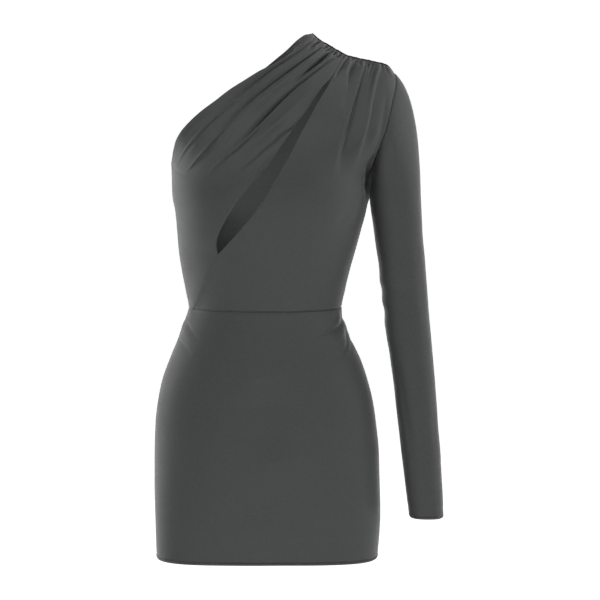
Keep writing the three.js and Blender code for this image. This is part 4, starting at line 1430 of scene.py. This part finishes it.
@dataclass
class Bench:
    """A short way to place and join nodes of one tree."""

    tree: bpy.types.NodeTree

    def node(
        self, kind: str, inputs: Optional[dict[object, object]] = None, **settings: object
    ) -> bpy.types.Node:
        """Places a node.

        Args:
            kind: The node's type.
            inputs: Sockets or plain values by input name or number.
            **settings: The node's own properties.

        Returns:
            The node.
        """
        made = self.tree.nodes.new(kind)
        for key, value in settings.items():
            setattr(made, key, value)
        self.plug(made, inputs or {})
        return made

    def plug(self, made: bpy.types.Node, inputs: dict[object, object]) -> None:
        """Sets a node's inputs, by name or number, from sockets or plain values."""
        for key, value in inputs.items():
            if isinstance(value, bpy.types.NodeSocket):
                self.tree.links.new(value, made.inputs[key])
            else:
                made.inputs[key].default_value = value

    def maths(self, operation: str, *values: object) -> bpy.types.NodeSocket:
        """Places a Math node and returns its output."""
        return self.node("ShaderNodeMath", dict(enumerate(values)), operation=operation).outputs[0]

    def finish(self, geometry: bpy.types.NodeSocket, material: bpy.types.NodeSocket) -> None:
        """Ends a geometry tree: makes all real and smooth, and gives it its material."""
        real = self.node("GeometryNodeRealizeInstances", {"Geometry": geometry})
        soft = self.node("GeometryNodeSetShadeSmooth", {"Geometry": real.outputs[0]})
        dressed = self.node(
            "GeometryNodeSetMaterial", {"Geometry": soft.outputs[0], "Material": material}
        )
        self.node("NodeGroupOutput", {"Geometry": dressed.outputs[0]})


@dataclass
class StitchRow:
    """A row of small sewn stitches, placed along a path by a geometry tree."""

    pitch: float = 3.0
    length: float = 2.2
    thread: float = 0.17
    evenness: tuple[float, float] = (0.88, 1.1)
    seed: int = 4

    def tree(self) -> bpy.types.NodeTree:
        """Builds the tree: points along the path, a stitch on each, all made real."""
        tree = new_tree("stitch_row", ("Pitch", "Length", "Thread"), ("Seed",))
        bench = Bench(tree)
        given = bench.node("NodeGroupInput").outputs
        spots = bench.node(
            "GeometryNodeCurveToPoints", {"Curve": given["Geometry"], "Length": given["Pitch"]},
            mode="LENGTH",
        )
        ball = bench.node("GeometryNodeMeshUVSphere", {"Segments": 6, "Rings": 4, "Radius": 0.5})
        shortest, longest = self.evenness
        uneven = bench.node(
            "FunctionNodeRandomValue", {2: shortest, 3: longest, "Seed": given["Seed"]},
            data_type="FLOAT",
        )
        long = bench.maths("MULTIPLY", given["Length"], uneven.outputs[1])
        thick = bench.maths("MULTIPLY", given["Thread"], 2.0)
        size = bench.node("ShaderNodeCombineXYZ", {"X": thick, "Y": thick, "Z": long})
        placed = bench.node(
            "GeometryNodeInstanceOnPoints",
            {"Points": spots.outputs["Points"], "Instance": ball.outputs["Mesh"],
             "Rotation": spots.outputs["Rotation"], "Scale": size.outputs[0]},
        )
        bench.finish(placed.outputs[0], given["Finish"])
        return tree

    def build(self, name: str, line: Array, finish: bpy.types.Material) -> bpy.types.Object:
        """Sews one row along a line of points in millimetres."""
        values = {
            "Pitch": self.pitch / 1000, "Length": self.length / 1000, "Thread": self.thread / 1000,
            "Seed": self.seed, "Finish": finish,
        }
        return run_tree(self.tree(), name, line, values)


@dataclass
class ShoulderRoll:
    """The narrow gathered roll along the shoulder seam, thinner towards both ends.

    start and end are its distances from the ends of the seam, lift and forward how far it lies above
    and before the ridge, and tuck how far its end sinks at the sleeve. Each taper holds how fast the
    roll thickens, as a share of its length, and its thickness at that end.
    """

    form: BodyForm
    radius: float = 1.45
    gathers: float = 46.0
    gather_depth: float = 0.22
    roughness: float = 0.35
    grain: float = 900.0
    start: float = 0.6
    end: float = 2.0
    lift: float = 0.45
    lift_wave: float = 0.25
    forward: float = 0.5
    forward_wave: float = 0.3
    tuck: float = 1.2
    tuck_share: float = 0.05
    drift: float = 2.4
    drift_pace: float = 37.0
    neck_taper: tuple[float, float] = (4.0, 0.55)
    sleeve_taper: tuple[float, float] = (9.0, 0.45)
    sides: int = 14
    steps: int = 640
    seed: int = 3

    def line(self) -> Array:
        """Returns the roll's path, wavering just above the ridge and tucked in at the sleeve's end."""
        x = np.linspace(self.form.neck_end + self.start, self.form.shoulder_end - self.end, 160)
        slope = self.form.ridge(x + 0.5) - self.form.ridge(x - 0.5)
        up = np.stack([-slope, np.ones_like(x)], axis=-1)
        up /= np.linalg.norm(up, axis=-1, keepdims=True)
        share = np.linspace(0, 1, len(x))
        lift = self.lift + self.lift_wave * np.sin(share * 61) * np.sin(share * 23 + 1)
        lift -= self.tuck * bell(1 - share, self.tuck_share)
        y = self.forward_wave * np.sin(share * 47 + 0.5) - self.forward
        return np.stack([x + up[:, 0] * lift, y, self.form.ridge(x) + up[:, 1] * lift], axis=-1)

    def tree(self) -> bpy.types.NodeTree:
        """Builds the tree: a tube along the path, drawn in at each gather and slightly uneven."""
        numbers = ("Radius", "Gathers", "Gather Depth", "Unevenness")
        tree = new_tree("gathered_roll", numbers, ("Sides", "Steps", "Seed"))
        bench = Bench(tree)
        given = bench.node("NodeGroupInput").outputs
        path = bench.node(
            "GeometryNodeResampleCurve", {"Curve": given["Geometry"], "Count": given["Steps"]}
        )
        along = bench.node("GeometryNodeSplineParameter").outputs["Factor"]
        angle = bench.maths("MULTIPLY", bench.maths("MULTIPLY", along, given["Gathers"]), FULL)
        drift = bench.maths("SINE", bench.maths("MULTIPLY", along, self.drift_pace))
        wave = bench.maths("SINE", bench.maths("MULTIPLY_ADD", drift, self.drift, angle))
        swell = bench.maths("MULTIPLY_ADD", wave, given["Gather Depth"], 1.0)
        left = bench.maths("SUBTRACT", 1.0, along)
        taper = bench.maths("MINIMUM", bench.maths("MULTIPLY_ADD", along, *self.neck_taper), 1.0)
        taper = bench.maths("MINIMUM", taper, bench.maths("MULTIPLY_ADD", left, *self.sleeve_taper))
        swell = bench.maths("MULTIPLY", swell, taper)
        size = bench.maths("MULTIPLY", swell, given["Radius"])
        profile = bench.node(
            "GeometryNodeCurvePrimitiveCircle", {"Resolution": given["Sides"], "Radius": 1.0}
        )
        tube = bench.node(
            "GeometryNodeCurveToMesh",
            {"Curve": path.outputs[0], "Profile Curve": profile.outputs[0], "Scale": size,
             "Fill Caps": True},
        )
        place = bench.node("GeometryNodeInputPosition")
        grain = bench.node(
            "ShaderNodeTexNoise",
            {"Vector": place.outputs[0], "W": given["Seed"], "Scale": self.grain, "Detail": 2.0},
            noise_dimensions="4D",
        )
        centred = bench.maths("SUBTRACT", grain.outputs[0], 0.5)
        push = bench.maths("MULTIPLY", centred, given["Unevenness"])
        normal = bench.node("GeometryNodeInputNormal")
        offset = bench.node(
            "ShaderNodeVectorMath", {0: normal.outputs[0], "Scale": push}, operation="SCALE"
        )
        moved = bench.node(
            "GeometryNodeSetPosition", {"Geometry": tube.outputs[0], "Offset": offset.outputs[0]}
        )
        bench.finish(moved.outputs[0], given["Finish"])
        return tree

    def build(self, finish: bpy.types.Material) -> bpy.types.Object:
        """Makes the roll."""
        values = {
            "Radius": self.radius / 1000, "Gathers": self.gathers, "Gather Depth": self.gather_depth,
            "Unevenness": self.roughness / 1000, "Sides": self.sides, "Steps": self.steps,
            "Seed": self.seed, "Finish": finish,
        }
        return run_tree(self.tree(), "cloth_shoulder_roll", self.line(), values)


@dataclass(frozen=True)
class KnitPattern:
    """The shared knit: columns of small V stitches, with a mottled tone, depth and painted shade in the low
    parts of the loops.
    """

    loop_depth: float = 0.3
    rib_power: float = 0.6
    soft_scale: float = 34.0
    fine_scale: float = 520.0
    soft_share: float = 0.12
    stitch_painted_shade: float = 0.05
    rough: float = 0.6
    rough_range: float = 0.16

    def group(self) -> bpy.types.NodeTree:
        """Builds the knit as a shader group that takes the cloth's own place and a yarn colour."""
        tree = bpy.data.node_groups.new("fine_knit", "ShaderNodeTree")
        vectors, numbers = ("Cloth", "Place"), ("Wale Width", "Course Height", "Mottle")
        kinds = [(n, "Vector") for n in vectors] + [(n, "Float") for n in numbers]
        for name, kind in kinds + [("Yarn Colour", "Color")]:
            tree.interface.new_socket(name, in_out="INPUT", socket_type="NodeSocket" + kind)
        for name, kind in (("Colour", "Color"), ("Height", "Float"), ("Roughness", "Float")):
            tree.interface.new_socket(name, in_out="OUTPUT", socket_type="NodeSocket" + kind)
        bench = Bench(tree)
        given = bench.node("NodeGroupInput").outputs
        split = bench.node("ShaderNodeSeparateXYZ", {0: given["Cloth"]})
        wale = bench.maths("FRACT", bench.maths("DIVIDE", split.outputs[0], given["Wale Width"]))
        lean = bench.maths("ABSOLUTE", bench.maths("SUBTRACT", wale, 0.5))
        course = bench.maths("DIVIDE", split.outputs[1], given["Course Height"])
        loop = bench.maths("SINE", bench.maths("MULTIPLY", bench.maths("ADD", course, lean), FULL))
        rib = bench.maths("SINE", bench.maths("MULTIPLY", wale, math.pi))
        ribs = bench.maths("POWER", rib, self.rib_power)
        height = bench.maths("MULTIPLY_ADD", loop, self.loop_depth, ribs)
        soft, fine = (
            bench.node(
                "ShaderNodeTexNoise",
                {"Vector": given["Place"], "Scale": scale, "Detail": detail, "Roughness": 0.6},
            ).outputs[0]
            for scale, detail in ((self.soft_scale, 4.0), (self.fine_scale, 1.0))
        )
        mix = bench.maths(
            "ADD", bench.maths("MULTIPLY", soft, self.soft_share),
            bench.maths("MULTIPLY", fine, 1 - self.soft_share),
        )
        tone = bench.maths("MULTIPLY_ADD", bench.maths("SUBTRACT", mix, 0.5), given["Mottle"], 1.0)
        # Painted shade: the yarn colour is darkened where the knit's height is low, in the hollows between
        # the loops.
        shade = bench.maths("MULTIPLY_ADD", height, self.stitch_painted_shade, 1 - self.stitch_painted_shade)
        tone = bench.maths("MULTIPLY", tone, shade)
        colour = bench.node(
            "ShaderNodeVectorMath", {0: given["Yarn Colour"], "Scale": tone}, operation="SCALE"
        )
        spread = bench.maths("SUBTRACT", soft, 0.5)
        rough = bench.maths("MULTIPLY_ADD", spread, self.rough_range, self.rough)
        outputs = {"Colour": colour.outputs[0], "Height": height, "Roughness": rough}
        bench.node("NodeGroupOutput", outputs)
        return tree


@dataclass(frozen=True)
class JerseyFinish:
    """A matt fine-knit jersey with a soft sheen at grazing angles."""

    name: str
    yarn: tuple[float, float, float]
    sheen: float = 0.19
    sheen_roughness: float = 0.32
    specular: float = 0.3
    wale: float = 0.62
    course: float = 0.5
    mottle: float = 0.75
    bump: float = 0.35
    bump_depth: float = 0.12

    def build(self, knit: bpy.types.NodeTree) -> bpy.types.Material:
        """Makes the material.

        Args:
            knit: The shared knit group.

        Returns:
            The material.
        """
        made = bpy.data.materials.new(self.name)
        made.use_nodes = True
        tree = made.node_tree
        shader = tree.nodes["Principled BSDF"]
        bench = Bench(tree)
        cloth = bench.node("ShaderNodeUVMap", uv_map="cloth")
        place = bench.node("ShaderNodeTexCoord")
        group = bench.node("ShaderNodeGroup", node_tree=knit)
        given = {
            "Cloth": cloth.outputs[0], "Place": place.outputs["Object"],
            "Wale Width": self.wale / 1000, "Course Height": self.course / 1000,
            "Mottle": self.mottle, "Yarn Colour": (*self.yarn, 1.0),
        }
        bench.plug(group, given)
        bump = bench.node(
            "ShaderNodeBump",
            {"Height": group.outputs["Height"], "Strength": self.bump,
             "Distance": self.bump_depth / 1000},
        )
        tree.links.new(group.outputs["Colour"], shader.inputs["Base Color"])
        tree.links.new(group.outputs["Roughness"], shader.inputs["Roughness"])
        tree.links.new(bump.outputs[0], shader.inputs["Normal"])
        shader.inputs["Sheen Weight"].default_value = self.sheen
        shader.inputs["Sheen Roughness"].default_value = self.sheen_roughness
        shader.inputs["Specular IOR Level"].default_value = self.specular
        return made


@dataclass(frozen=True)
class PaperFinish:
    """Plain pale studio paper."""

    name: str = "studio_paper"
    tone: float = 0.94
    grain: float = 0.02
    glow: float = 0.3

    def build(self) -> bpy.types.Material:
        """Makes the material."""
        made = bpy.data.materials.new(self.name)
        made.use_nodes = True
        bench = Bench(made.node_tree)
        place = bench.node("ShaderNodeTexCoord")
        grain = bench.node("ShaderNodeTexNoise", {"Vector": place.outputs["Object"], "Scale": 3.0})
        tone = bench.maths("MULTIPLY_ADD", grain.outputs[0], self.grain, self.tone - self.grain / 2)
        colour = bench.node("ShaderNodeCombineXYZ", {0: tone, 1: tone, 2: tone})
        shader = made.node_tree.nodes["Principled BSDF"]
        made.node_tree.links.new(colour.outputs[0], shader.inputs["Base Color"])
        shader.inputs["Roughness"].default_value = 0.9
        shader.inputs["Specular IOR Level"].default_value = 0.1
        shader.inputs["Emission Color"].default_value = (1.0, 1.0, 1.0, 1.0)
        shader.inputs["Emission Strength"].default_value = self.glow
        return made


@dataclass(frozen=True)
class Lamp:
    """A soft box: where it stands, what it points at, its size and its power."""

    name: str
    place: tuple[float, float, float]
    target: tuple[float, float, float]
    size: tuple[float, float]
    power: float


@dataclass
class Studio:
    """The pale ground, the soft boxes and the camera at the photograph's angle, in metres.

    The sweep gives the cloth its bounced light and the camera doesn't see it. The room is what the
    camera sees, from all sides. The last two lamps are tiny ones in the dress's hollow, which light
    the inner cloth behind the neckline and the slit.
    """

    floor: float = -0.97
    back: float = 1.9
    bend: float = 0.7
    front: float = -3.2
    half_width: float = 4.0
    top: float = 3.0
    room_radius: float = 7.0
    camera_place: tuple[float, float, float] = (-0.0787, -2.7, -0.0563)
    camera_pitch: float = -6.1305
    lens: float = 112.37
    lamps: tuple[Lamp, ...] = (
        Lamp("upper_left_box", (-1.5, -1.6, 1.6), (-0.1, 0.0, -0.35), (0.9, 0.9), 31),
        Lamp("top_box", (-0.1, -1.0, 2.0), (-0.1, 0.0, -0.35), (1.2, 1.0), 26),
        Lamp("right_box", (2.0, -0.6, 0.0), (-0.1, 0.0, -0.35), (0.8, 2.0), 21),
        Lamp("upper_right_box", (1.3, -0.9, 1.7), (-0.1, 0.0, -0.35), (0.9, 0.9), 8),
        Lamp("left_rim_box", (-1.8, 0.6, 0.0), (-0.1, 0.0, -0.35), (0.8, 2.0), 28),
        Lamp("right_rim_box", (1.8, 0.6, 0.0), (-0.1, 0.0, -0.35), (0.8, 2.0), 10),
        Lamp("shoulder_rim_box", (1.5, 0.6, 1.2), (0.05, 0.0, -0.1), (0.6, 0.6), 12),
        Lamp("low_box", (-0.1, -1.8, -0.9), (-0.1, 0.0, -0.35), (1.6, 0.5), 13.5),
        Lamp("neck_fill", (-0.106, -0.006, -0.012), (-0.096, 0.03, 0.02), (0.06, 0.015), 0.010),
        Lamp("slit_fill", (-0.043, -0.012, -0.03), (-0.043, 0.06, -0.05), (0.03, 0.03), 0.012),
    )

    def sweep(self, paper: bpy.types.Material) -> bpy.types.Object:
        """Makes the floor and backdrop as one curved sheet."""
        angles = np.linspace(0, QUARTER, 17)
        bend_y = self.back - self.bend * (1 - np.sin(angles))
        bend_z = self.floor + self.bend * (1 - np.cos(angles))
        profile = [(self.front, self.floor), *zip(bend_y, bend_z), (self.back, self.top)]
        verts = [(x, y, z) for y, z in profile for x in (-self.half_width, self.half_width)]
        faces = [(2 * k, 2 * k + 1, 2 * k + 3, 2 * k + 2) for k in range(len(profile) - 1)]
        mesh = bpy.data.meshes.new("studio_sweep")
        mesh.from_pydata(verts, [], faces)
        mesh.polygons.foreach_set("use_smooth", [True] * len(faces))
        mesh.materials.append(paper)
        shown = bpy.data.objects.new("studio_sweep", mesh)
        bpy.context.collection.objects.link(shown)
        shown.visible_camera = False
        return shown

    def room(self, paper: bpy.types.Material) -> bpy.types.Object:
        """Makes the pale round room that the camera sees on every side; it gives the cloth no light."""
        mesh = bpy.data.meshes.new("studio_room")
        form = bmesh.new()
        bmesh.ops.create_uvsphere(form, u_segments=64, v_segments=32, radius=self.room_radius)
        for vertex in form.verts:
            vertex.co.z = max(vertex.co.z, self.floor)
        form.to_mesh(mesh)
        form.free()
        mesh.materials.append(paper)
        shown = bpy.data.objects.new("studio_room", mesh)
        shown.visible_diffuse = shown.visible_glossy = shown.visible_shadow = False
        bpy.context.collection.objects.link(shown)
        return shown

    def hang(self, lamp: Lamp) -> None:
        """Makes one soft box, turned to its target."""
        light = bpy.data.lights.new(lamp.name, "AREA")
        light.shape = "RECTANGLE"
        light.size, light.size_y = lamp.size
        light.energy = lamp.power
        shown = bpy.data.objects.new(lamp.name, light)
        shown.location = lamp.place
        way = np.array(lamp.target) - np.array(lamp.place)
        flat = math.hypot(way[0], way[1])
        shown.rotation_euler = (QUARTER + math.atan2(way[2], flat), 0, math.atan2(-way[0], way[1]))
        shown.visible_camera = False
        bpy.context.collection.objects.link(shown)

    def build(self, paper: bpy.types.Material, wall: bpy.types.Material) -> None:
        """Makes the sweep, the room, the lamps and the camera.

        Args:
            paper: The sweep's material.
            wall: The room's material.
        """
        self.sweep(paper)
        self.room(wall)
        for lamp in self.lamps:
            self.hang(lamp)
        scene = bpy.context.scene
        scene.world = bpy.data.worlds.new("room")
        scene.world.use_nodes = True
        scene.world.node_tree.nodes["Background"].inputs["Strength"].default_value = 0.0
        camera = bpy.data.objects.new("camera", bpy.data.cameras.new("camera"))
        camera.data.lens = self.lens
        camera.data.sensor_width = 36
        camera.location = self.camera_place
        camera.rotation_euler = (math.radians(90 + self.camera_pitch), 0, 0)
        bpy.context.collection.objects.link(camera)
        scene.camera = camera
        scene.view_settings.view_transform = "Standard"


@dataclass
class Dress:
    """The whole dress: its form, folds and cloth, and the pieces sewn from them."""

    form: BodyForm = field(default_factory=BodyForm)
    cloth: Cloth = field(default_factory=Cloth)

    def settle(self, piece: bpy.types.Object, nodes: Sequence[str]) -> None:
        """Gives a finished piece its body and hides the parts of the nodes that it stands for."""
        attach(piece, "root")
        if nodes:
            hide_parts(*nodes)
        LOG.info("%s: %d faces", piece.name, len(piece.data.polygons))

    def sew(
        self, shell: Shell, finishes: Sequence[bpy.types.Material],
    ) -> None:
        """Makes a piece of cloth and hides the part that it stands for.

        Args:
            shell: The placed piece, named for the node that it stands for.
            finishes: The outside's and the inside's material.
        """
        piece = shell.build(finishes)
        self.settle(piece, [shell.name.removeprefix("cloth_")])

    def build(self) -> None:
        """Sews the dress together, piece by piece."""
        knit = KnitPattern().group()
        outside = JerseyFinish("jersey", (0.0313, 0.0323, 0.0325)).build(knit)
        # Painted light: the inside's yarn is painted much paler than the outside's, to lift the inner cloth
        # that lies in shade in the dress's hollow.
        inside = JerseyFinish("jersey_inside_painted_light", (0.078, 0.08, 0.0795), sheen=0.1).build(knit)
        thread = JerseyFinish("sewing_thread", (0.03, 0.031, 0.031), mottle=0.1, bump=0.0).build(knit)
        # Painted shade: the roll's yarn is painted far darker than the jersey and has no sheen, so the lit
        # roll shows as a dark shaded line.
        shaded = JerseyFinish(
            "jersey_roll_painted_shade", (0.012, 0.0125, 0.0125), sheen=0.0, specular=0.1
        ).build(knit)
        cloth = (outside, inside)
        folds = FoldPlan(self.form)
        plan = BodicePlan(self.form)
        for cut in Bodice(plan, folds, self.cloth).pieces():
            self.sew(cut.place(), cloth)
        skirt = Skirt(self.form, folds, self.cloth)
        rows = (
            ("cloth_skirt_front", Side.FRONT, 180, 160, (440.0, 365.0), 0.150),
            ("cloth_skirt_back", Side.BACK, 130, 110, (480.0, 370.0), 0.163),
        )
        for name, side, across, along, flat, area in rows:
            shell = skirt.place(name, side, across, along, flat)
            self.sew(shell, cloth)
        sleeve = Sleeve(plan, self.cloth)
        shell = sleeve.place((300.0, 660.0))
        self.sew(shell, cloth)
        self.settle(ShoulderRoll(self.form).build(shaded), ["shoulder_binding"])
        self.settle(StitchRow().build("stitches_cuff", sleeve.stitch_line(shell), thread), [])


def main() -> None:
    """Builds the studio and the dress."""
    logging.basicConfig(level=logging.INFO, format="%(name)s: %(message)s")
    paper, wall = PaperFinish(), PaperFinish("studio_wall", glow=1.0)
    Studio().build(paper.build(), wall.build())
    Dress().build()


if __name__ == "__main__":
    main()
